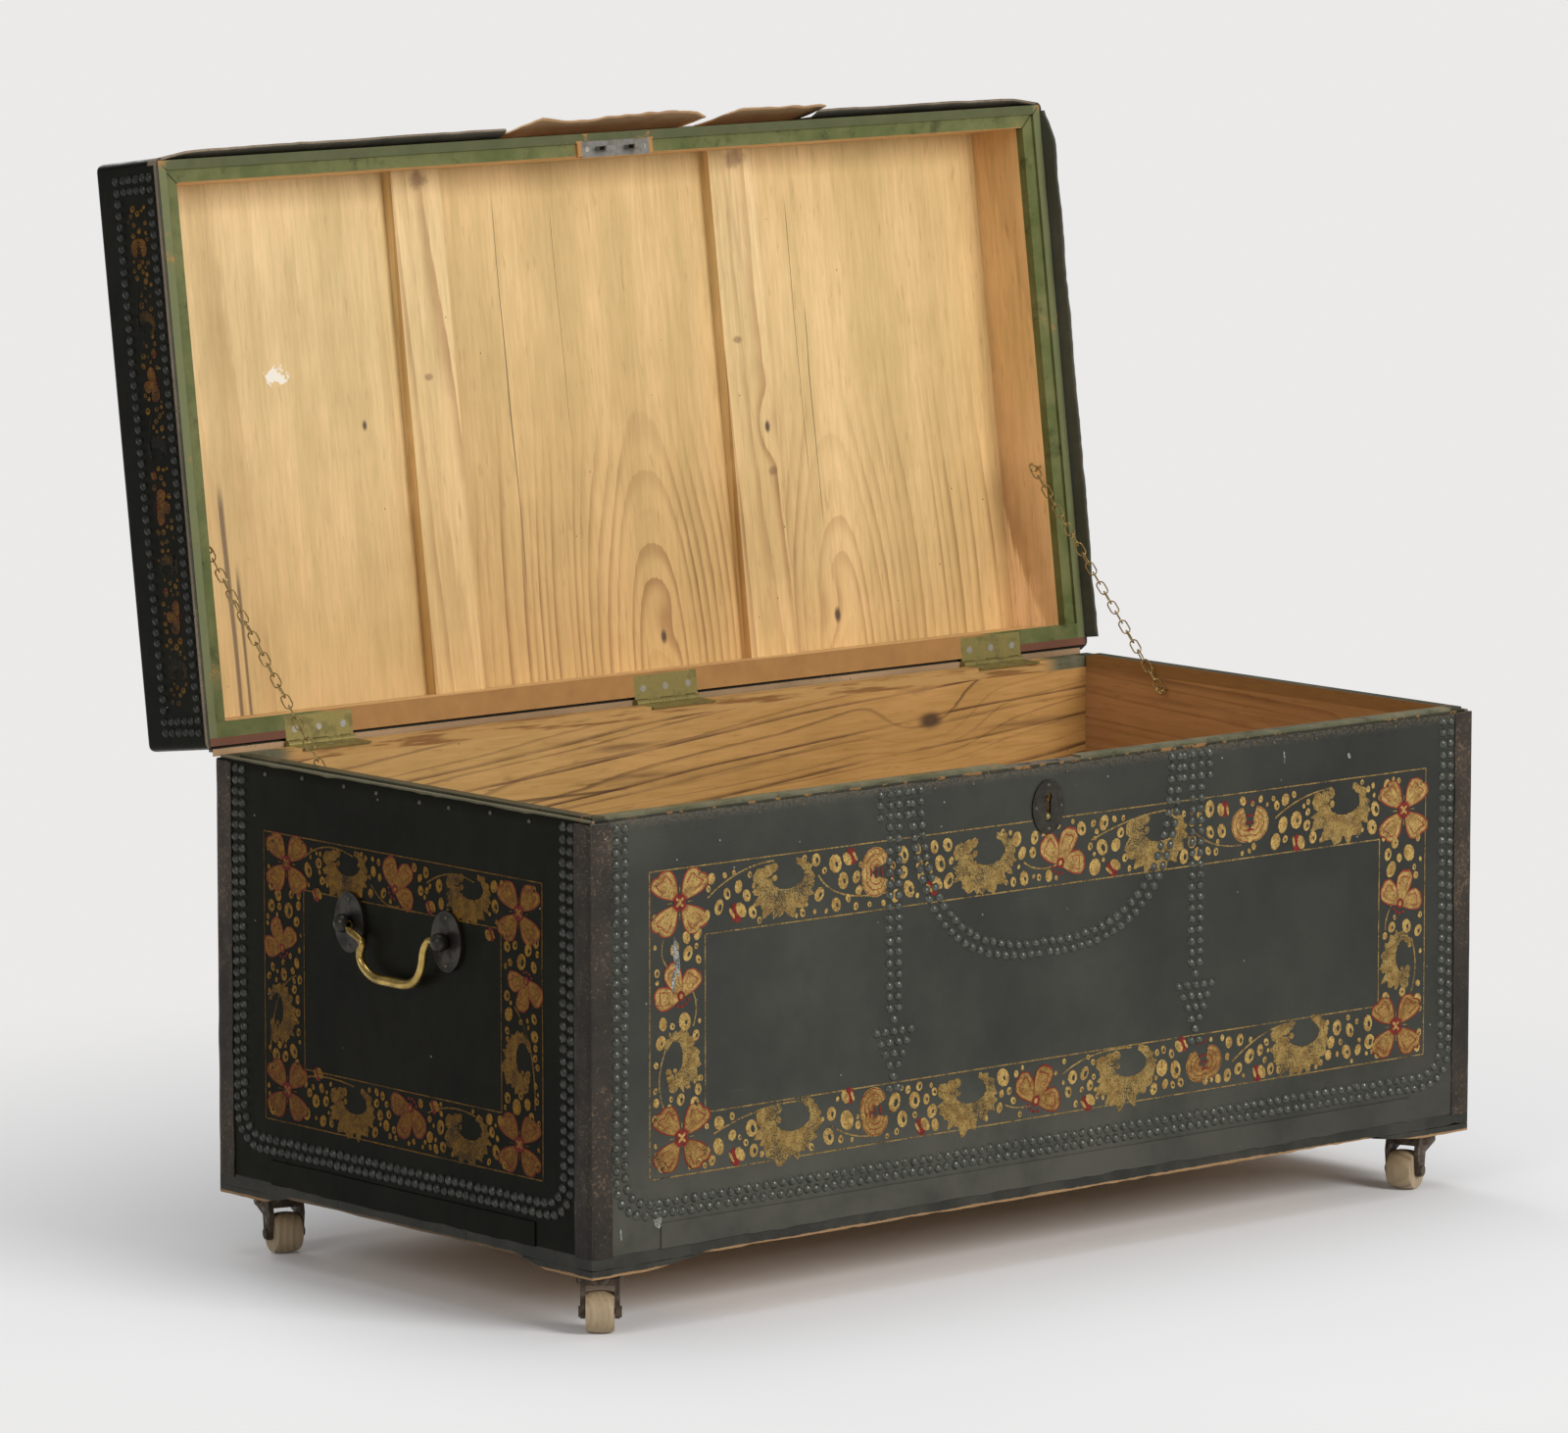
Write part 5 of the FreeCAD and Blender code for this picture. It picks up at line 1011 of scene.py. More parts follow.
def foot_paint(name, low, clear_of_blocks):
    """Dark paint on wood, chipped to bare wood here and there along its lower edge."""
    finish, place = start_finish(name, gloss=0.25)
    split = add_node("SeparateXYZ", {0: place})
    broad = cloud(place, 26.0, 4.0, 0.65)
    fine = cloud(place, 300.0, 3.0, 0.6)
    colour = mix_tones(spread(broad, 0.3, 0.7), (0.016, 0.016, 0.012), (0.036, 0.034, 0.025))
    near = spread(split[2], low, low + 0.0055, 0.62, 0.0)
    chip = near + (broad * 0.55 + fine * 0.25)
    share = spread(chip, 0.74, 0.82)
    if clear_of_blocks:
        along_front = fall(abs(split[0]), 0.37, 0.385)
        along_end = spread(abs(split[1]), 0.145, 0.158, 0.35, 0.0)
        share *= largest(along_front, along_end)
    bare = mix_tones(fine, (0.38, 0.235, 0.11), (0.17, 0.09, 0.037))
    colour = mix_tones(share, colour, bare)
    wire(colour, None, fine - share, 0.3, 0.0005)
    return finish


def block_of(low, high, cells):
    """A cube between two corners, cut into cells along X and Y."""
    shape = bmesh.new()
    bmesh.ops.create_cube(shape, size=1.0)
    bmesh.ops.scale(shape, vec=high - low, verts=shape.verts)
    bmesh.ops.translate(shape, vec=(low + high) / 2.0, verts=shape.verts)
    slice_up(shape, 0, steps_between(low.x, high.x, cells[0]))
    slice_up(shape, 1, steps_between(low.y, high.y, cells[1]))
    return shape


print("foot levels", PLANK_LOW, BLOCK_LOW)

# %% Planks
plank_wood = camphor("camphor_planks", "yxz", (0.5, 0.2, 0.03), (0.46, 0.28, 0.115), WARM_DEEP, 0.6,
                     0.012, 0.03)
plank_paint = foot_paint("plank_paint", PLANK_LOW, True)
for place_name in ("front", "middle", "back"):
    node = f"bottom_plank_{place_name}"
    low, high = (Vector(corner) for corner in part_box(node))
    plank = block_of(low, high, (125, 6))
    for vert in plank.verts:
        outside = abs(vert.co.x) > HALF_LONG - 0.001 or abs(vert.co.y) > HALF_DEEP - 0.001
        if outside and vert.co.z < low.z + TINY:
            vert.co.z += abs(ragged(vert.co.x + vert.co.y, 0.0034, 70.0, 82.0))
    for face in plank.faces:
        face.material_index = 1 if abs(face.normal.z) < 0.5 else 0
    keep_piece(f"foot_plank_{place_name}", plank, [plank_wood, plank_paint], "chest",
               [node], sharp=30.0)

# %% Blocks
block_paint = foot_paint("block_paint", BLOCK_LOW, False)
blocks = []
for side in (-1, 1):
    for end in (-1, 1):
        outer = Vector((side * HALF_LONG, end * HALF_DEEP, BLOCK_LOW))
        inner = outer + Vector((-side * BLOCK_LONG, -end * BLOCK_DEEP, PLANK_LOW - BLOCK_LOW))
        low = Vector(map(min, outer, inner))
        high = Vector(map(max, outer, inner))
        block = block_of(low, high, (16, 12))
        for vert in block.verts:
            if vert.co.z < low.z + TINY:
                away = Vector((HALF_LONG - abs(vert.co.x), HALF_DEEP - abs(vert.co.y)))
                slope = max((away.x - 0.060) / 0.055, (away.y - 0.060) / 0.030, 0.0)
                vert.co.z += min(1.0, slope) * 0.0062 + abs(ragged(vert.co.x + vert.co.y, 0.0016, 90.0, 83.0))
        blocks.append(block)
keep_piece("foot_blocks", join_shapes(blocks), [block_paint], "chest", ["corner_blocks"],
           sharp=30.0)

# %% [markdown]
# ## Lid leather
# One hide is drawn over the lid like a cap, with soft edges. It starts as a cube: bevelled along its upright
# and top edges, opened underneath, and sliced into cells with bisect cuts so that its lower edge can be worn.
# A stretch of the front has torn away, and the rest of its lower edge has curled off the wood. At the back
# a thin edge of the hide is turned out behind the hinges, which closes the gap there. All of it is modelled
# shut and turned open with the lid.

# %% Lid leather
LID_HALF = 0.505
LID_FRONT = HINGE.y - 0.5046
LID_BACK = HINGE.y - 0.0036
LID_RIM = HINGE.z + 0.0004
LID_TOP = HINGE.z + 0.0884
LID_ROUND = 0.006
TORN_LEFT = -0.124
TORN_RIGHT = 0.237
TORN_HIGH = LID_RIM + 0.042
CURL = 0.0066
CURL_HIGH = 0.0125
CAP_THICK = 0.0023
lid_low = Vector((-LID_HALF, LID_FRONT, LID_RIM))
lid_high = Vector((LID_HALF, LID_BACK, LID_TOP))
cap = block_of(lid_low, lid_high, (1, 1))
under = [face for face in cap.faces if face.normal.z < -0.9]
bmesh.ops.delete(cap, geom=under, context="FACES")
soft_edges = [edge for edge in cap.edges if len(edge.link_faces) == 2]
bmesh.ops.bevel(cap, geom=soft_edges, offset=LID_ROUND, segments=4, profile=0.5, affect="EDGES", material=-1)
slice_up(cap, 0, steps_between(-0.49, 0.49, 112) + [TORN_LEFT, TORN_RIGHT])
slice_up(cap, 1, steps_between(LID_FRONT + 0.01, LID_BACK - 0.01, 56))
slice_up(cap, 2, [LID_RIM + 0.0034, LID_RIM + 0.007, LID_RIM + 0.012, LID_RIM + 0.026, TORN_HIGH,
                  LID_RIM + 0.06])
torn = []
for face in cap.faces:
    middle = face.calc_center_median()
    in_front = middle.y < LID_FRONT + 0.001 and middle.z < TORN_HIGH
    if in_front and TORN_LEFT < middle.x < TORN_RIGHT:
        torn.append(face)
bmesh.ops.delete(cap, geom=torn, context="FACES")
for vert in cap.verts:
    if vert.co.z < LID_RIM + TINY:
        walk = vert.co.x + vert.co.y * 1.7
        if vert.co.y > LID_BACK - 0.001:
            vert.co.z += 0.0045
        elif vert.co.x < -0.49:
            vert.co.z += abs(ragged(walk, 0.0016, 45.0, 41.0))
        elif vert.co.x < 0.49:
            vert.co.z += abs(ragged(walk, 0.0025, 45.0, 42.0))
    elif vert.co.z > LID_RIM + 0.03:
        dent = ripple(vert.co.x * 8.0, vert.co.y * 8.0, vert.co.z * 8.0)
        vert.co.z -= 0.0004 * abs(dent)
for vert in cap.verts:
    low_share = 1.0 - (vert.co.z - LID_RIM) / CURL_HIGH
    if vert.co.y < LID_FRONT + 0.001 and low_share > 0.0:
        curl = CURL * (0.9 + 0.25 * ripple(vert.co.x * 9.0, 0.4, 0.0))
        near_corner = max(0.0, min(1.0, (0.499 - abs(vert.co.x)) / 0.03))
        vert.co.y -= curl * low_share ** 1.3 * near_corner
for face in cap.faces:
    middle = face.calc_center_median()
    on_end = middle.z < LID_RIM + 0.0033 and abs(middle.x) > 0.499
    on_corner = middle.z < LID_RIM + 0.0118 and abs(middle.x) > 0.492 and middle.y < LID_FRONT + 0.008
    # Index 1, on the lid's ends, is the darker leather copy: painted shade.
    face.material_index = 2 if on_end or on_corner else int(abs(middle.x) > 0.5035)
move(cap, OPEN_LID)
lid_leathers = [dark_leather, end_leather_painted_shade, frayed_leather, worn_leather_painted_light]
cap_piece = keep_piece("lid_cap", cap, lid_leathers, "lid", ["lid_leather"])
thicken(cap_piece, CAP_THICK)
# The inner side takes the paler leather: painted light.
cap_piece.modifiers["thickness"].material_offset = 3
cap_piece.modifiers["thickness"].material_offset_rim = 2

# %% Turned edge behind the hinges
EDGE_LEVEL = HINGE.z + 0.0044
EDGE_REACH = HINGE.y + 0.0027
EDGE_LONG = 0.996
EDGE_THICK = 0.0008
back_edge = sheet(150, 2)
for vert in back_edge.verts:
    across = vert.co.x * EDGE_LONG
    reach = LID_BACK + (vert.co.y + 0.5) * (EDGE_REACH - LID_BACK)
    if vert.co.y > AT_EDGE:
        reach -= abs(ragged(across, 0.0008, 60.0, 81.0))
    vert.co = (across, reach, EDGE_LEVEL)
move(back_edge, OPEN_LID)
edge_piece = keep_piece("lid_back_edge", back_edge, [raw_leather], "lid")
thicken(edge_piece, EDGE_THICK)

# %% [markdown]
# ## Torn leather on the lid
# The torn front leather still hangs on as two curling sheets, brown on their flesh side, and a ragged skirt
# of leather sticks out past the rim of the right end. Both are grids that lift more the nearer they come to
# the torn edge, with the edge itself nibbled by noise.

# %% Torn flap and end skirt
FLAP_DEEP = 0.042
FLAP_THICK = 0.0014
FLAP_SPAN = TORN_RIGHT - TORN_LEFT
TEAR_STARTS = TORN_LEFT + 0.634 * FLAP_SPAN
TEAR_ENDS = TEAR_STARTS + 0.07 * FLAP_SPAN
LEFT_LIFT = ((0.0, 2.5), (0.11, 9.0), (0.19, 13.5), (0.26, 11.0), (0.34, 8.5), (0.51, 11.0), (0.85, 13.0),
             (0.97, 10.0), (1.0, 6.0))
RIGHT_LIFT = ((0.0, 7.0), (0.12, 11.0), (0.43, 10.5), (0.90, 10.0), (1.0, 9.0))


def along_profile(points, share):
    """Value at a share of the way along a row of (share, value) points."""
    for (low, start), (high, stop) in zip(points, points[1:]):
        if share <= high:
            return start + (stop - start) * (share - low) / (high - low)
    return points[-1][1]


def lifted_sheet(start, stop, lifts, slant, seed):
    """A sheet held along its top, curling away towards the rim, with torn ends that slant."""
    shape = sheet(max(14, round((stop - start) / 0.004)), 10)
    for vert in shape.verts:
        share = vert.co.x + 0.5
        down = 0.5 - vert.co.y
        across = start + (stop - start) * share + slant * (1.0 - down)
        rise = 0.001 * along_profile(lifts, share)
        rise += 0.0012 * ripple(across * 60.0, seed, 0.0) * down
        edge = 0.0012 * down + abs(ragged(across, 0.007, 60.0, seed)) * down ** 3
        up = LID_RIM + FLAP_DEEP * (1.0 - down) - 0.0004 + edge
        crease = 0.0008 * ripple(across * 90.0, down * 3.0, seed)
        vert.co = (across, LID_FRONT - 0.0005 - max(0.0, rise * down ** 1.3) - crease * down, up)
    move(shape, OPEN_LID)
    return shape


flap = join_shapes([
    lifted_sheet(TORN_LEFT + 0.001, TEAR_STARTS, LEFT_LIFT, 0.0, 51.0),
    lifted_sheet(TEAR_ENDS, TORN_RIGHT + 0.010, RIGHT_LIFT, -0.006, 52.0),
])
flap_piece = keep_piece("torn_flap", flap, [dark_leather, raw_leather], "lid",
                        ["lid_front_flap"])
flap_solid = flap_piece.modifiers.new("thickness", "SOLIDIFY")
flap_solid.thickness = FLAP_THICK
flap_solid.offset = -1.0
flap_solid.material_offset = 1
flap_solid.material_offset_rim = 1

END_SKIRT_LONG = 0.017
END_SKIRT_THICK = 0.0018
end_skirt = sheet(90, 6)
skirt_front = LID_FRONT + 0.008
skirt_back = LID_BACK - 0.009
for vert in end_skirt.verts:
    along = skirt_front + (vert.co.x + 0.5) * (skirt_back - skirt_front)
    down = 0.5 - vert.co.y
    wear = abs(ragged(along, 0.004, 30.0, 61.0)) * down
    grown = min(1.0, max(0.12, (along - skirt_front) / 0.028)) ** 0.5
    up = LID_RIM + 0.001 - END_SKIRT_LONG * grown * down + wear
    vert.co = (LID_HALF + 0.0012 * down * ripple(along * 25.0, 6.0, 0.0), along, up)
move(end_skirt, OPEN_LID)
end_skirt_piece = keep_piece("end_skirt", end_skirt, [skirt_leather], "lid",
                             ["lid_end_skirt"])
thicken(end_skirt_piece, END_SKIRT_THICK)

# %% [markdown]
# ## Studs
# Rows of domed brass studs, gone bronze-green, hold the leather down. There are hundreds, so each dome is
# only a few dozen faces: a short curve spun round its axis. Their places come from the CAD studs, found as
# the separate islands of the node's mesh, and each gets a small seeded shift, tilt and size of its own.

# %% Studs
STUD_ROUND = 0.0043
STUD_HIGH = 0.0028
STUD_SUNK = 0.0002
STUD_PROFILE = ((1.0, 0.0), (0.98, 0.14), (0.80, 0.42), (0.62, 0.76), (0.34, 0.95), (0.0, 1.0))


def island_middles(name):
    """Middle of the box round each separate solid of a CAD node."""
    copy = bmesh.new()
    copy.from_mesh(nodes[name].data)
    bmesh.ops.remove_doubles(copy, verts=copy.verts, dist=WELD)
    left = set(copy.verts)
    middles = []
    while left:
        front = [left.pop()]
        low = front[0].co.copy()
        high = front[0].co.copy()
        while front:
            vert = front.pop()
            low = Vector(map(min, low, vert.co))
            high = Vector(map(max, high, vert.co))
            for edge in vert.link_edges:
                other = edge.other_vert(vert)
                if other in left:
                    left.remove(other)
                    front.append(other)
        middles.append((low + high) / 2.0)
    copy.free()
    return sorted(middles, key=lambda point: (round(point.x, 4), round(point.y, 4), round(point.z, 4)))


def dome(shape):
    """Spin one stud's dome into a shape."""
    verts = [shape.verts.new((STUD_ROUND * out, 0.0, STUD_HIGH * up)) for out, up in STUD_PROFILE]
    edges = [shape.edges.new(pair) for pair in zip(verts, verts[1:])]
    bmesh.ops.spin(shape, geom=verts + edges, cent=(0, 0, 0), axis=(0, 0, 1), angle=2.0 * math.pi,
                   steps=12, use_merge=True)


stud = bmesh.new()
dome(stud)
stud_mesh = cleaned_mesh("stud_dome", stud)


def add_copy(shape, mesh, matrix):
    """Add a copy of a mesh to a shape, placed by a matrix."""
    before = len(shape.verts)
    shape.from_mesh(mesh)
    shape.verts.ensure_lookup_table()
    bmesh.ops.transform(shape, matrix=matrix, verts=shape.verts[before:])


def stud_rows(name, node, plans, body, chance, finish):
    """All the studs of one CAD node as domes. plans gives each stud's flat plan."""
    shape = bmesh.new()
    middles = island_middles(node)
    for middle in middles:
        plan, lift = plans(middle)
        flat = plan.inverted() @ middle
        nudge = Vector((chance.uniform(-0.0004, 0.0004), chance.uniform(-0.0004, 0.0004), 0.0))
        seat = Matrix.Translation(Vector((flat.x, flat.y, lift(flat))) + nudge)
        tilt = Matrix.Rotation(chance.uniform(-0.12, 0.12), 4, "X")
        tilt = tilt @ Matrix.Rotation(chance.uniform(-0.12, 0.12), 4, "Y")
        size = Matrix.Diagonal([chance.uniform(0.92, 1.06) for axis in "xyz"] + [1.0])
        add_copy(shape, stud_mesh, plan @ seat @ tilt @ size)
    keep_piece(name, shape, [finish], body, [node], sharp=60.0)


def side_studs(side):
    """Plan and leather height for the studs of one side."""
    return lambda middle: (SIDES[side], lambda flat: swell(side, flat.x, flat.y) - STUD_SUNK)


LID_ENDS = {
    -1: OPEN_LID @ side_plan(-Y_WAY, -X_WAY, Vector((-LID_HALF, HINGE.y, HINGE.z))),
    1: OPEN_LID @ side_plan(Y_WAY, X_WAY, Vector((LID_HALF, HINGE.y, HINGE.z))),
}
stud_rows("front_stud_rows", "front_studs", side_studs("front"), "chest", random.Random(11), stud_bronze)
# The end studs take the darker copy: painted shade.
stud_rows("left_stud_rows", "left_studs", side_studs("left"), "chest", random.Random(12), end_stud_painted_shade)
stud_rows("right_stud_rows", "right_studs", side_studs("right"), "chest", random.Random(13), end_stud_painted_shade)
stud_rows("lid_stud_rows", "lid_studs",
          lambda middle: (LID_ENDS[-1 if middle.x < 0 else 1], lambda flat: -STUD_SUNK), "lid",
          random.Random(14), black_stud)

# %% Tacks and key post
TACK_STEP = 0.049
TACK_UP = 0.4172
tacks = bmesh.new()
chance = random.Random(15)
for side, half in (("front", HALF_LONG), ("left", HALF_DEEP), ("right", HALF_DEEP)):
    for number in range(1, round(2.0 * half / TACK_STEP) - 1):
        across = -half + TACK_STEP * (number + 0.5) + chance.uniform(-0.007, 0.007)
        up = TACK_UP + chance.uniform(-0.0015, 0.0012)
        seat = Matrix.Translation((across, up, swell(side, across, up) - STUD_SUNK)) @ Matrix.Scale(0.48, 4)
        add_copy(tacks, stud_mesh, SIDES[side] @ seat)
keep_piece("edge_tacks", tacks, [pin_bronze], "chest", sharp=60.0)
post = bmesh.new()
post_seat = Matrix.Translation((KEY_PLACE[0], KEY_PLACE[1] - 0.0085, -0.0005)) @ Matrix.Scale(0.85, 4)
add_copy(post, stud_mesh, SIDES["front"] @ post_seat)
keep_piece("key_post", post, [hinge_brass], "chest", sharp=60.0)

# %% [markdown]
# ## Stay chains
# Two light brass chains hold the lid from falling back. A chain is not one bent rod: each link is an oval
# ring of wire, and every other link is turned a quarter. One link is spun and extruded from a small circle
# and repeated along the straight line between the two eyes.

# %% Chains
LINK_WIRE = 0.00065
LINK_WIDE = 0.0036
LINKS = 23
CHAIN_X = 0.4735
LOW_EYE = Vector((0.0, 0.121, 0.405))
HIGH_EYE = OPEN_LID @ Vector((0.0, HINGE.y - 0.172, HINGE.z + 0.0184))


def oval_link(straight):
    """One oval ring of wire, its long way along Z."""
    shape = bmesh.new()
    ring = bmesh.ops.create_circle(shape, segments=8, radius=LINK_WIRE)["verts"]
    bmesh.ops.translate(shape, vec=(LINK_WIDE, 0.0, straight), verts=ring)
    moving = list(shape.edges) + list(shape.verts)
    for end in (1.0, -1.0):
        turned = bmesh.ops.spin(shape, geom=moving, cent=(0, 0, end * straight), axis=(0, -1, 0),
                                angle=math.pi, steps=7)["geom_last"]
        edges = [item for item in turned if isinstance(item, bmesh.types.BMEdge)]
        drawn = bmesh.ops.extrude_edge_only(shape, edges=edges)["geom"]
        verts = [item for item in drawn if isinstance(item, bmesh.types.BMVert)]
        bmesh.ops.translate(shape, vec=(0.0, 0.0, -2.0 * end * straight), verts=verts)
        moving = [item for item in drawn if not isinstance(item, bmesh.types.BMFace)]
    return cleaned_mesh("link", shape)


chain_run = HIGH_EYE - LOW_EYE
link_step = chain_run.length / LINKS
link_straight = (link_step + 4.0 * LINK_WIRE) / 2.0 - LINK_WIDE
link_mesh = oval_link(link_straight)
along_chain = chain_run.to_track_quat("Z", "X").to_matrix().to_4x4()
for side_name, sign in (("left", -1.0), ("right", 1.0)):
    chain = bmesh.new()
    chance = random.Random(21 if sign < 0 else 22)
    for link in range(LINKS):
        middle = LOW_EYE + chain_run * ((link + 0.5) / LINKS)
        middle.x = sign * CHAIN_X
        turn = Matrix.Rotation(math.pi / 2.0 * (link % 2) + chance.uniform(-0.25, 0.25) + 0.78, 4, "Z")
        add_copy(chain, link_mesh, Matrix.Translation(middle) @ along_chain @ turn)
    name = f"{side_name}_chain_links"
    piece = keep_piece(name, chain, [chain_brass], None, [f"{side_name}_stay_chain"], 60.0)
    start = LOW_EYE.copy()
    start.x = sign * CHAIN_X
    end = HIGH_EYE.copy()
    end.x = sign * CHAIN_X
    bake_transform(piece)
print("link step", round(link_step * 1000.0, 2), "mm")

# %% [markdown]
# ## Painted border: finishes
# The flowers are painted in gold and red. The gold is thin and stippled, so the dark leather shows through
# in specks, and the red lies in fine contour lines and streaks that spring from the heart of each petal.
# Every stroke carries a UV map of its own, across and along, and the petal finish draws its lines on that.
# The ends and the lid's ends get much darker copies of the paints, as painted shade, and the lid's ends are
# more worn, so each side has its own set of paints.

# %% Paint finishes
GOLD_TONES = ((0.43, 0.285, 0.090), (0.255, 0.150, 0.043))
RED_TONES = ((0.190, 0.022, 0.017), (0.130, 0.017, 0.013))
FRONT_GROUND = (0.030, 0.031, 0.024)
# The ends' ground is as dark as their leather copy: painted shade.
SHADED_END_GROUND = (0.0065, 0.0065, 0.0045)
END_TINT = (1.12, 0.86, 0.32)
FADED = (0.68, 0.57, 0.48)
SCRAPE_TONES = ((0.37, 0.36, 0.33), (0.15, 0.146, 0.128))


def worn_share(place, wear):
    """Where paint has gone: fine specks gathered in larger patches."""
    dots = cloud(place, 950.0, 3.0, 0.7)
    patches = cloud(place, 45.0, 3.0, 0.6)
    both = dots * 0.62 + patches * 0.38
    return spread(both, 0.6 - wear * 0.3, 0.68 - wear * 0.3)


def paint(name, tones, wear, ground, pattern=None, red=None):
    """Thin stippled paint on dark leather; pattern lays red over it by the stroke's UV map."""
    finish, place = start_finish(name, gloss=0.1)
    tone = cloud(place, 130.0, 3.0, 0.6)
    stipple = cloud(place, 520.0, 3.0, 0.7)
    colour = mix_tones(spread(tone, 0.35, 0.68), *tones)
    colour = mix_tones(spread(stipple, 0.5, 0.64, 0.0, 0.8), colour, shaded(tones[1], 0.4))
    if pattern:
        stroke_place = add_node("UVMap")["UV"]
        flush, lines = pattern(stroke_place, place)
        colour = mix_tones(flush, colour, [0.5 * (gold + dark) for gold, dark in zip(tones[1], red)])
        colour = mix_tones(lines, colour, red)
        up = add_node("SeparateXYZ", {0: place})[2]
        colour = mix_tones(spread(up, 0.15, 0.29, 0.7, 0.0), colour, FADED, "MULTIPLY")
    colour = mix_tones(worn_share(place, wear), colour, ground)
    wire(colour, None, tone, 0.2, 0.0002)
    return finish


def petal_lines(stroke_place, place):
    """A flush at the heart; then red lines: rim, a second contour inside it, and streaks from the heart."""
    split = add_node("SeparateXYZ", {0: stroke_place})
    across, along = split[0], split[1]
    shake = (cloud(place, 260.0, 2.0) - 0.5) * 0.08
    edge = reckon("MINIMUM", across, 1.0 - across)
    edge = reckon("MINIMUM", edge, 1.0 - along)
    edge += shake
    rim = spread(edge, 0.045, 0.08, 0.92, 0.0)
    contour = abs(edge - 0.22)
    contour = spread(contour, 0.014, 0.034, 0.85, 0.0) * spread(along, 0.35, 0.5)
    fan = stretch(stroke_place, (17.0, 1.1, 1.0))
    streak = spread(cloud(fan, 1.0, 2.0), 0.585, 0.62)
    streak *= spread(along, 0.46, 0.82, 0.95, 0.0)
    heart = fall(along, 0.06, 0.16)
    flush = spread(along, 0.12, 0.4, 0.1, 0.0)
    return flush, largest(rim, contour, streak, heart)


def nested_lines(stroke_place, place):
    """A flush at the heart, and red arcs, one inside the other, across each half of a peony."""
    across = add_node("SeparateXYZ", {0: stroke_place})[0]
    shake = cloud(place, 150.0, 2.0) * 0.2
    part = reckon("FRACT", (across + shake) * 3.4)
    lines = fall(abs(part - 0.5), 0.05, 0.12)
    return spread(across, 0.1, 0.4, 0.1, 0.0), lines


def paint_box(prefix, level, wear, ground, tint=(1.0, 1.0, 1.0)):
    """A full set of paints at one level of painted shade, with a tint and extra wear."""
    gold = [shaded(tone, level, tint) for tone in GOLD_TONES]
    red = [shaded(tone, level ** 0.45) for tone in RED_TONES]
    petal_gold = [shaded(tone, 0.92) for tone in gold]
    return [
        paint(f"{prefix}_leaf", [shaded(tone, 0.70) for tone in gold], 0.30 + wear, ground),
        paint(f"{prefix}_berry", gold, 0.06 + wear, ground),
        paint(f"{prefix}_line", [shaded(tone, 0.72) for tone in gold], 0.34 + wear, ground),
        paint(f"{prefix}_petal", petal_gold, 0.08 + wear, ground, petal_lines, red[0]),
        paint(f"{prefix}_peony", petal_gold, 0.08 + wear, ground, nested_lines, red[0]),
        paint(f"{prefix}_red", red, 0.08 + wear, ground),
        paint(f"{prefix}_spot", [ground, shaded(ground, 1.6)], 0.2, ground),
        paint(f"{prefix}_scrape", [shaded(tone, level) for tone in SCRAPE_TONES], 0.42, ground),
    ]


LEAF, BERRY, LINE, PETAL, PEONY, RED_MARK, SPOT, SCRAPE = range(8)
FRONT_PAINTS = paint_box("front", 1.0, 0.0, FRONT_GROUND)
# The ends' paints at 0.48 and the lid ends' at 0.40 of the front's level are painted shade.
END_PAINTS = paint_box("end", 0.48, 0.0, SHADED_END_GROUND, END_TINT)
LID_PAINTS = paint_box("lid", 0.40, 0.34, SHADED_END_GROUND, END_TINT)
print("paints", [finish.name for finish in FRONT_PAINTS])

# %% [markdown]
# ## Painted border: strokes
# Each stroke is a small grid or circle, bent into a petal, a leaf, a stem or a berry in the flat plan of its
# side. Strokes that cross lie in thin layers, as paint does. Each flower or leaf gives back the round places
# that it fills, so that the berries can keep clear of it later.

# %% Strokes
MM = 0.001
LAYER = 0.00006
PAINT_THICK = 0.00012
PAINT_LIFT = 0.00005


def stroke(shape, bend, finish, cells, layer=0):
    """One brush stroke: a unit grid, bent into place by a function of across and along."""
    verts = bmesh.ops.create_grid(shape, x_segments=cells[0], y_segments=cells[1], size=0.5,
                                  calc_uvs=True)["verts"]
    for vert in verts:
        across, up = bend(vert.co.x + 0.5, vert.co.y + 0.5)
        vert.co = (across, up, layer * LAYER)
        for face in vert.link_faces:
            face.material_index = finish


def turned(middle, turn, size=1.0, flip=1.0):
    """A function that takes a place in a flower's own plan to the plan of its side."""
    cos_turn = math.cos(turn) * size
    sin_turn = math.sin(turn) * size

    def place(side, up):
        side *= flip
        return middle[0] + side * cos_turn - up * sin_turn, middle[1] + side * sin_turn + up * cos_turn

    return place


def polar(middle, reach, angle):
    """The place at a distance and an angle from a middle."""
    return middle[0] + reach * math.cos(angle), middle[1] + reach * math.sin(angle)


def spot(shape, middle, radii, turn, finish, layer=0, sides=9):
    """One oval dab of paint."""
    verts = bmesh.ops.create_circle(shape, cap_ends=True, segments=sides, radius=1.0, calc_uvs=True)["verts"]
    place = turned(middle, turn)
    for vert in verts:
        across, up = place(vert.co.x * radii[0], vert.co.y * radii[1])
        vert.co = (across, up, layer * LAYER)
        for face in vert.link_faces:
            face.material_index = finish


print("stroke layers", LAYER, "m apart")

# %% [markdown]
# ## Painted border: flowers and leaves
# A flower is a handful of strokes about a middle or a base. The petals fan out, the leaf follows an arc with
# a jagged outer edge, and the peony is two halves of nested arcs. Sizes are shares of the flower's own size.


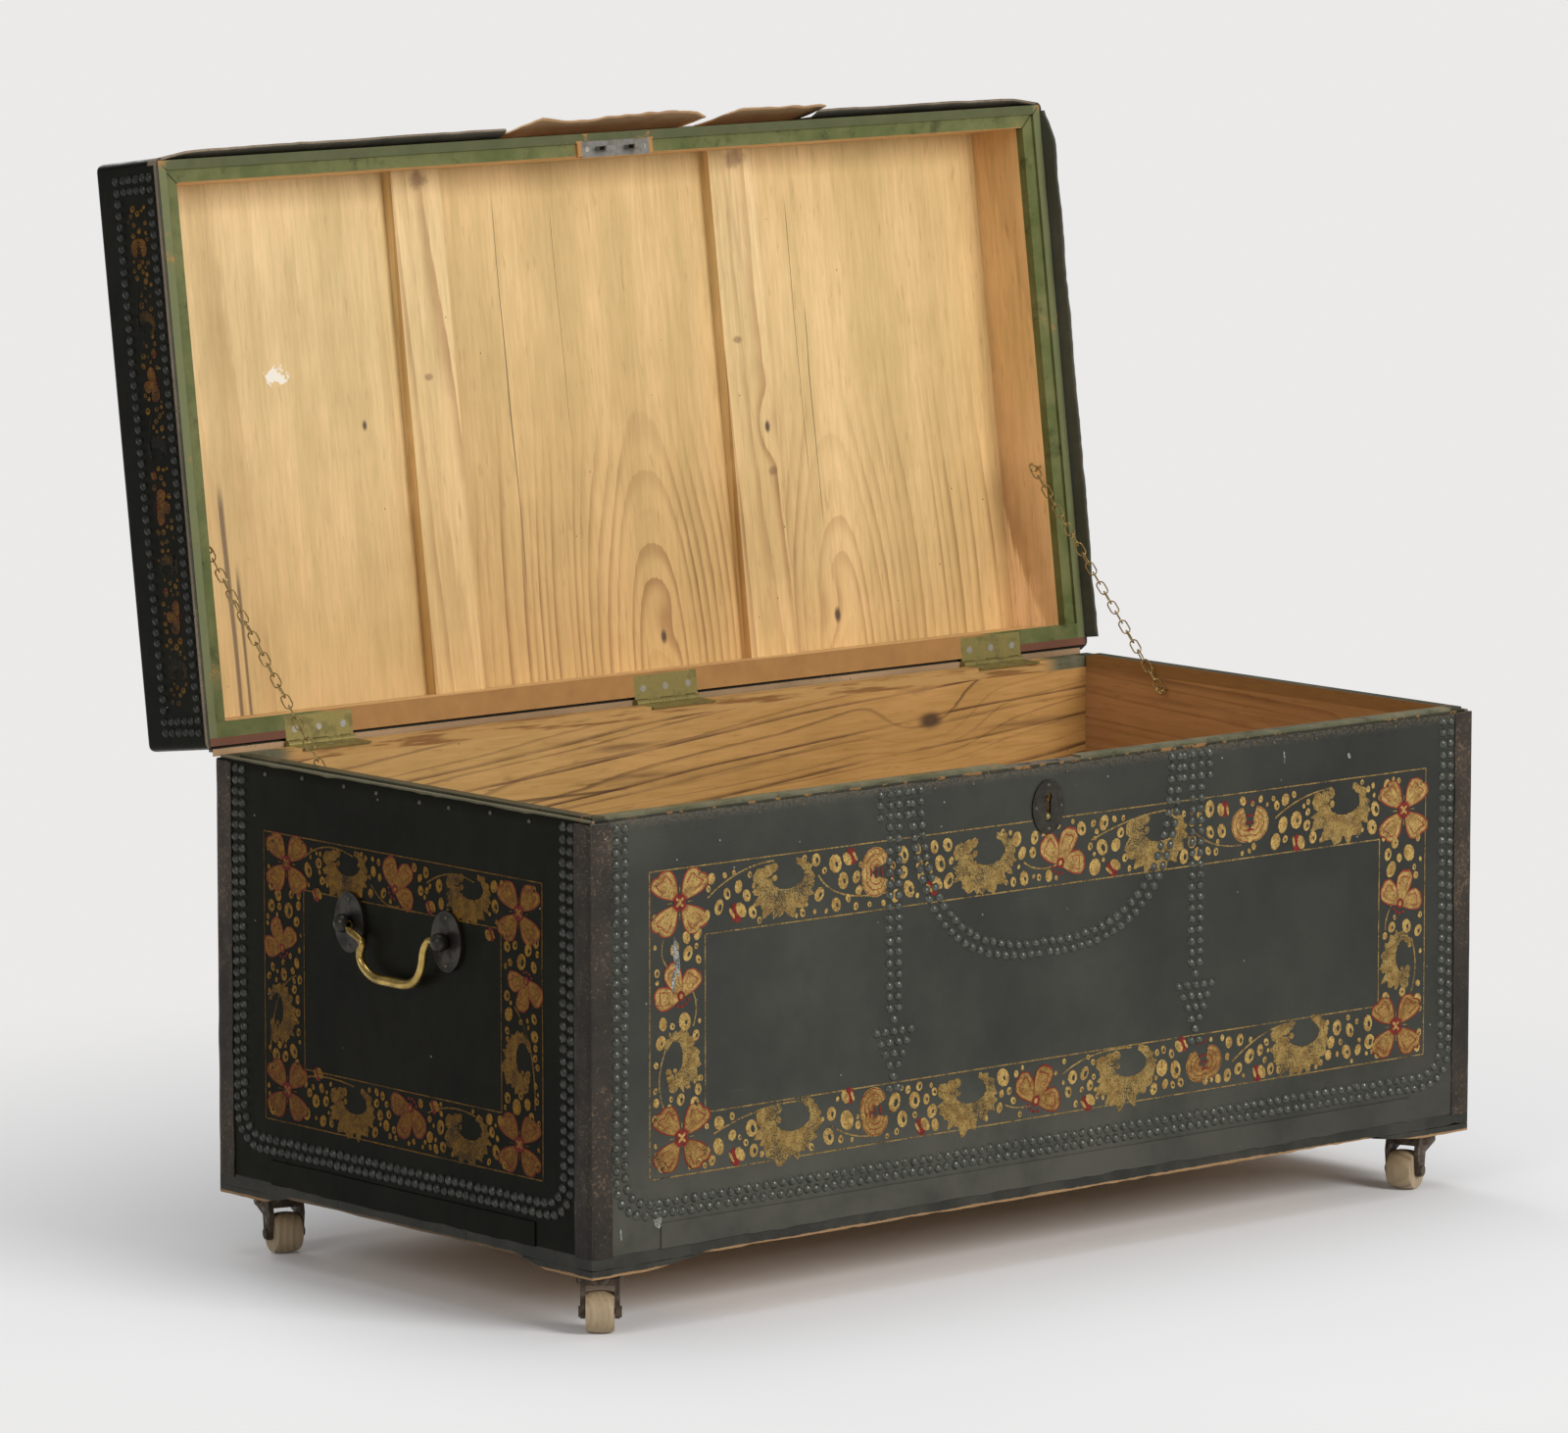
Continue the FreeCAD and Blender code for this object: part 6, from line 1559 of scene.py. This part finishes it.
# %% Flowers and leaves
def petal(shape, base, heading, long, wide, layer, notch, skew):
    """A fan-shaped petal from its base, heading outwards; skew makes one shoulder longer."""
    ahead = Vector((math.cos(heading), math.sin(heading)))
    aside = Vector((ahead.y, -ahead.x))

    def bend(across, along):
        side = 2.0 * across - 1.0
        girth = wide * (0.20 + 0.80 * math.sin(math.pi / 2.0 * min(1.0, along * 1.15)))
        dip = 0.24 * abs(side) ** 2.4 + notch * math.exp(-(side / 0.25) ** 2) - skew * side
        point = Vector(base) + ahead * (long * along * (1.0 - dip)) + aside * (side * girth / 2.0)
        return point.x, point.y

    stroke(shape, bend, PETAL, (8, 8), layer)


def corner_flower(shape, middle, size):
    """Four petals on the diagonals, a lattice heart and four short rays."""
    for quarter in range(4):
        heading = math.pi / 4.0 + quarter * math.pi / 2.0
        base = polar(middle, 0.09 * size, heading)
        petal(shape, base, heading, size * 0.55, size * 0.46, 1, 0.09, 0.10 * (-1) ** quarter)
        ray = quarter * math.pi / 2.0
        ray_middle = polar(middle, 0.20 * size, ray)
        spot(shape, ray_middle, (size * 0.06, size * 0.010), ray, LINE, 2, 6)
        bead = polar(middle, 0.060 * size, heading)
        spot(shape, bead, (size * 0.036, size * 0.022), heading, BERRY, 4, 6)
    spot(shape, middle, (size * 0.115, size * 0.130), 0.0, RED_MARK, 3, 10)
    spot(shape, middle, (size * 0.034, size * 0.050), 0.0, BERRY, 4, 4)
    return [(middle[0], middle[1], 0.44 * size)]


LEAF_GIRTH = ((0.0, 0.14), (0.12, 0.27), (0.27, 0.34), (0.42, 0.29), (0.58, 0.20), (0.74, 0.13), (0.9, 0.08),
              (1.0, 0.02))


def acanthus(shape, middle, size, turn, flip, seed):
    """A jagged crescent leaf: a fat curled head, a belly with hanging teeth, a thin rising tip."""
    place = turned(middle, turn, size, flip)

    def at(across, along):
        angle = math.radians(176.0 + 246.0 * along)
        tooth = abs(2.0 * ((along * 12.0) % 1.0) - 1.0)
        rough = ripple(along * 34.0, seed * 3.1, across)
        jag = 1.0 + across * (0.26 * tooth - 0.16 + 0.34 * rough)
        inner = 0.188 + 0.022 * ripple(along * 20.0, seed, 5.0)
        squash = 0.60 + 0.20 * across
        radius = inner + 0.07 * along ** 2 + along_profile(LEAF_GIRTH, along) * across * jag
        return 0.03 + 1.05 * radius * math.cos(angle), 0.12 + squash * radius * math.sin(angle)

    stroke(shape, lambda across, along: place(*at(across, along)), LEAF, (4, 84))
    for side, up, wide in ((-0.33, 0.17, 0.10), (-0.22, 0.21, 0.080), (-0.14, 0.24, 0.058),
                           (-0.13, 0.13, 0.040)):
        spot(shape, place(side, up), (wide * size, wide * 0.85 * size), turn + 0.4 * seed, LEAF, 1, 7)
    filled = [(*place(-0.24, 0.19), 0.15 * size), (*place(0.04, 0.14), 0.17 * size)]
    for step in range(8):
        along = step / 7.0
        filled.append((*place(*at(0.55, along)), 0.44 * size * along_profile(LEAF_GIRTH, along)))
    return filled


def peony(shape, middle, size, turn):
    """Two halves of nested petals round a red heart, open at the top."""
    place = turned(middle, turn, size)
    for sign in (-1.0, 1.0):
        def bend(across, along, sign=sign):
            angle = math.radians(-112.0 + 184.0 * along)
            radius = 0.05 + 0.38 * across * (1.0 - 0.20 * abs(2.0 * along - 1.0) ** 3)
            return place(sign * (0.07 + radius * math.cos(angle)), 0.92 * radius * math.sin(angle))

        stroke(shape, bend, PEONY, (6, 18), 1)
    for step, wide in enumerate((0.11, 0.08, 0.10)):
        spot(shape, place(0.0, 0.15 - 0.14 * step), (wide * size, 0.028 * size), turn, RED_MARK, 2, 7)
    spot(shape, place(0.0, -0.32), (0.07 * size, 0.07 * size), turn, BERRY, 3, 8)
    for side in (-0.10, 0.0, 0.11):
        spot(shape, place(side, 0.43), (0.022 * size, 0.06 * size), turn - side * 3.0, RED_MARK, 1, 5)
    return [(*place(0.22, 0.0), 0.33 * size), (*place(-0.22, 0.0), 0.33 * size)]


def bloom(shape, base, heading, size):
    """Three petals that fan from one base, with a red heart and small bracts."""
    for offset, long, wide, layer in ((1.25, 0.62, 0.44, 1), (-1.10, 0.58, 0.42, 1), (0.10, 0.66, 0.40, 2)):
        petal(shape, base, heading + offset, size * long, size * wide, layer, 0.04, 0.05)
    spot(shape, base, (size * 0.10, size * 0.09), heading, RED_MARK, 3, 8)
    spot(shape, base, (size * 0.05, size * 0.04), heading, BERRY, 4, 6)
    for step in range(4):
        angle = heading + math.pi + (step - 1.5) * 0.5
        point = polar(base, 0.18 * size, angle)
        spot(shape, point, (size * 0.035, size * 0.03), 0.0, RED_MARK, 1, 6)
    filled = [(*polar(base, 0.34 * size, heading + offset), 0.27 * size) for offset in (1.2, -1.1, 0.1)]
    return filled + [(base[0], base[1], 0.2 * size)]


def bud(shape, middle, size, turn):
    """A small red bud with a gold cheek."""
    place = turned(middle, turn, size)
    spot(shape, middle, (size * 0.36, size * 0.52), turn, RED_MARK, 1, 9)
    spot(shape, place(0.34, 0.0), (size * 0.28, size * 0.44), turn + 0.3, BERRY, 2, 8)
    spot(shape, place(-0.24, 0.1), (size * 0.10, size * 0.34), turn + 0.2, BERRY, 2, 6)
    return [(middle[0], middle[1], 0.6 * size)]


def stem(shape, points, wide=1.4 * MM):
    """A thin curved line through three points, the middle one pulling it."""
    start, pull, end = (Vector(point) for point in points)

    def walk(along):
        return start.lerp(pull, along).lerp(pull.lerp(end, along), along)

    def bend(across, along):
        ahead = (pull - start).lerp(end - pull, along).normalized()
        offset = (across - 0.5) * wide
        return walk(along).x + ahead.y * offset, walk(along).y - ahead.x * offset

    stroke(shape, bend, LINE, (1, 10))
    return [(*walk(step / 8.0), 1.2 * MM) for step in range(9)]


def frame_lines(shape, low, high, wide=1.1 * MM):
    """A thin painted rectangle."""
    corners = [low, (high[0], low[1]), high, (low[0], high[1])]
    for start, end in zip(corners, corners[1:] + corners[:1]):
        middle = ((start[0] + end[0]) / 2.0, (start[1] + end[1]) / 2.0)
        stem(shape, (start, middle, end), wide)


print("flowers and leaves ready")

# %% [markdown]
# ## Painted border: layout
# The border of each side is a band between two thin frames. Flowers sit in the corners, and crescent leaves,
# peonies, blooms and stems follow one another round it, at places measured on the photograph. The gaps are
# filled with gold berries, dropped one by one by a seeded draw wherever they clear what is already there.
# The ends of the lid carry a narrow, very worn row of the same flowers between their studs.


# %% Berries
def fill_berries(shape, outer, inner, filled, chance, tries, sizes):
    """Fill a band with berries that keep clear of flowers and of each other."""
    (low_across, low_up), (high_across, high_up) = outer
    placed = 0
    for attempt in range(tries):
        big = sizes[0] + (sizes[1] - sizes[0]) * (1.0 - attempt / tries) ** 1.2 * chance.uniform(0.55, 1.0)
        across = chance.uniform(low_across + big, high_across - big)
        up = chance.uniform(low_up + big, high_up - big)
        narrow = chance.uniform(0.68, 0.88)
        turn = chance.uniform(-0.5, 0.5)
        holed = chance.random()
        beside_hole = inner and inner[0][0] - big < across < inner[1][0] + big
        if beside_hole and inner[0][1] - big < up < inner[1][1] + big:
            continue
        if any((across - x) ** 2 + (up - y) ** 2 < (radius + big + 0.4 * MM) ** 2 for x, y, radius in filled):
            continue
        filled.append((across, up, big))
        spot(shape, (across, up), (big * narrow, big), turn, BERRY, 1, 10)
        if big > 2.4 * MM and holed < 0.72:
            dot = big * (0.25 + 0.35 * holed)
            spot(shape, (across + big * 0.18, up - big * 0.08), (dot * 0.62, dot), turn, SPOT, 2, 7)
        placed += 1
    return placed


def in_metres(across, up):
    """A place of a plan in metres."""
    return across * MM, up * MM


def lay_border(name, plan, seed, paints, matrix, body, lift):
    """Paint one side's border from its plan and lay it on the leather."""
    shape = bmesh.new()
    shape.loops.layers.uv.verify()
    filled = []
    for across, up, size in plan["flowers"]:
        filled += corner_flower(shape, in_metres(across, up), size * MM)
    for number, (across, up, size, turn, flip) in enumerate(plan["leaves"]):
        filled += acanthus(shape, in_metres(across, up), size * MM, math.radians(turn), flip, 1.0 + number)
    for across, up, size, turn in plan["peonies"]:
        filled += peony(shape, in_metres(across, up), size * MM, math.radians(turn))
    for across, up, size, turn in plan["blooms"]:
        heading = math.radians(turn)
        base = polar((across, up), -0.25 * size, heading)
        filled += bloom(shape, in_metres(*base), heading, size * MM)
    for across, up, size, turn in plan["buds"]:
        filled += bud(shape, in_metres(across, up), size * MM, math.radians(turn))
    for points in plan["stems"]:
        filled += stem(shape, [in_metres(*point) for point in points])
    for across, up, wide, high, turn in plan["scrapes"]:
        spot(shape, in_metres(across, up), (wide * MM, high * MM), math.radians(turn), SCRAPE, 4, 12)
    inside = 2.0 * MM
    outer = [in_metres(*corner) for corner in plan["outer"]]
    band = [[part + inside for part in outer[0]], [part - inside for part in outer[1]]]
    hole = None
    if plan["inner"]:
        inner = [in_metres(*corner) for corner in plan["inner"]]
        frame_lines(shape, *outer)
        frame_lines(shape, *inner)
        hole = [[part - inside for part in inner[0]], [part + inside for part in inner[1]]]
    berries = fill_berries(shape, band, hole, filled, random.Random(seed), plan["tries"], plan["berries"])
    shape.normal_update()
    bmesh.ops.reverse_faces(shape, faces=[face for face in shape.faces if face.normal.z < 0.0])
    for vert in shape.verts:
        vert.co.z += lift(vert.co.x, vert.co.y) + PAINT_LIFT
    move(shape, matrix)
    if matrix.determinant() < 0.0:
        bmesh.ops.reverse_faces(shape, faces=shape.faces)
    piece = keep_piece(name, shape, paints, body, sharp=80.0)
    thicken(piece, PAINT_THICK, inwards=False)
    print(name, "has", berries, "berries")


# %% Borders
FLIPPED = -1.0
FRONT_PLAN = {
    "outer": [(-439, 125), (444, 378)],
    "inner": [(-380, 174), (388, 321)],
    "flowers": [(-407, 350, 55), (417, 344, 54), (-405, 156, 55), (410, 154, 54)],
    "leaves": [(-295, 349, 80, 0, 1), (-74, 346, 84, 0, 1), (122, 346, 86, 0, 1), (341, 347, 84, 0, 1),
               (-290, 147, 86, 0, 1), (-93, 146, 80, 0, 1), (89, 147, 84, 0, 1), (294, 149, 84, 0, 1),
               (-404, 220, 62, 90, 1), (409, 212, 62, -90, FLIPPED)],
    "peonies": [(-195, 353, 42, -90), (232, 351, 44, 0), (-196, 152, 42, -80), (179, 149, 42, 10)],
    "blooms": [(18, 350, 50, 60), (-410, 284, 47, 110), (-9, 150, 50, 60), (418, 273, 47, 70)],
    "buds": [(-347, 335, 17, 20), (-222, 369, 15, 200), (-132, 334, 16, 30), (71, 328, 15, 40),
             (202, 366, 14, 180), (288, 328, 15, 0), (-348, 133, 16, 20), (-224, 169, 14, 190),
             (-145, 133, 15, 20), (43, 130, 15, 30), (154, 168, 14, 200), (243, 132, 15, 10)],
    "stems": [[(-378, 350), (-345, 374), (-306, 374)], [(-258, 357), (-241, 330), (-180, 335)],
              [(-30, 344), (-12, 331), (14, 340)], [(47, 355), (96, 372), (138, 372)],
              [(165, 352), (185, 332), (222, 333)], [(262, 352), (290, 370), (330, 372)],
              [(-371, 155), (-322, 174), (-275, 171)], [(-245, 147), (-224, 132), (-195, 132)],
              [(-50, 140), (-38, 134), (-22, 136)], [(15, 158), (45, 176), (95, 172)],
              [(213, 146), (253, 174), (288, 171)], [(-424, 322), (-430, 308), (-420, 298)],
              [(-394, 277), (-386, 262), (-393, 247)], [(-419, 236), (-436, 208), (-424, 182)],
              [(404, 262), (396, 252), (396, 240)], [(428, 230), (438, 206), (428, 182)]],
    "scrapes": [(-411, 306, 3.2, 17, 8), (-414, 286, 2.0, 9, -6), (-432, 96, 5.0, 12, 12),
                (-470, 84, 1.2, 5, 5), (272, 404, 0.9, 6, 4), (350, 398, 1.8, 2.6, 30)],
    "tries": 15000,
    "berries": (2.0 * MM, 9.0 * MM),
}
END_PLAN = {
    "outer": [(-183, 123), (186, 368)],
    "inner": [(-129, 172), (133, 324)],
    "flowers": [(-152, 344, 50), (156, 340, 50), (156, 149, 50), (-153, 151, 50)],
    "leaves": [(-72, 343, 72, 0, 1), (91, 343, 70, 0, 1), (88, 143, 70, 0, 1), (-65, 143, 72, 0, 1),
               (152, 217, 62, -90, FLIPPED), (-158, 215, 62, 90, 1)],
    "peonies": [],
    "blooms": [(3, 347, 46, 40), (-162, 281, 42, 110), (162, 275, 42, 250), (7, 149, 46, 240)],
    "buds": [(-112, 322, 12, 20), (40, 330, 12, 20), (120, 318, 12, 200), (-112, 170, 12, 20),
             (44, 164, 12, 20)],
    "stems": [[(-128, 352), (-100, 372), (-62, 360)], [(-38, 340), (-20, 320), (0, 326)],
              [(36, 350), (66, 368), (98, 358)], [(-126, 166), (-96, 172), (-62, 166)],
              [(36, 158), (66, 172), (98, 164)], [(-140, 250), (-172, 240), (-176, 180)],
              [(150, 262), (178, 236), (176, 180)]],
    "scrapes": [],
    "tries": 9000,
    "berries": (1.8 * MM, 7.2 * MM),
}
LID_PLAN = {
    "outer": [(38, 17), (470, 50)],
    "inner": None,
    "flowers": [],
    "leaves": [(262, 34, 33, 90, 1), (368, 34, 34, 90, FLIPPED), (162, 33, 32, 90, 1),
               (74, 33, 32, 90, FLIPPED)],
    "peonies": [(430, 34, 23, 90)],
    "blooms": [(315, 34, 27, 100), (210, 33, 28, 260), (118, 32, 26, 80)],
    "buds": [(340, 26, 8, 30), (140, 40, 8, 200), (238, 41, 8, 90)],
    "stems": [[(290, 37), (275, 46), (252, 41)], [(188, 28), (176, 22), (160, 26)],
              [(400, 39), (384, 46), (362, 42)]],
    "scrapes": [],
    "tries": 900,
    "berries": (1.6 * MM, 3.8 * MM),
}
for side, plan, seed, paints in (("front", FRONT_PLAN, 71, FRONT_PAINTS), ("left", END_PLAN, 72, END_PAINTS),
                                 ("right", END_PLAN, 73, END_PAINTS)):
    lay_border(f"{side}_border", plan, seed, paints, SIDES[side], "chest",
               lambda across, up, side=side: swell(side, across, up))
for side, sign, mirror in (("left", -1, 1.0), ("right", 1, -1.0)):
    matrix = LID_ENDS[sign] @ Matrix.Diagonal((mirror, 1.0, 1.0, 1.0))
    lay_border(f"lid_{side}_border", LID_PLAN, 74, LID_PAINTS, matrix, "lid", lambda across, up: 0.0)
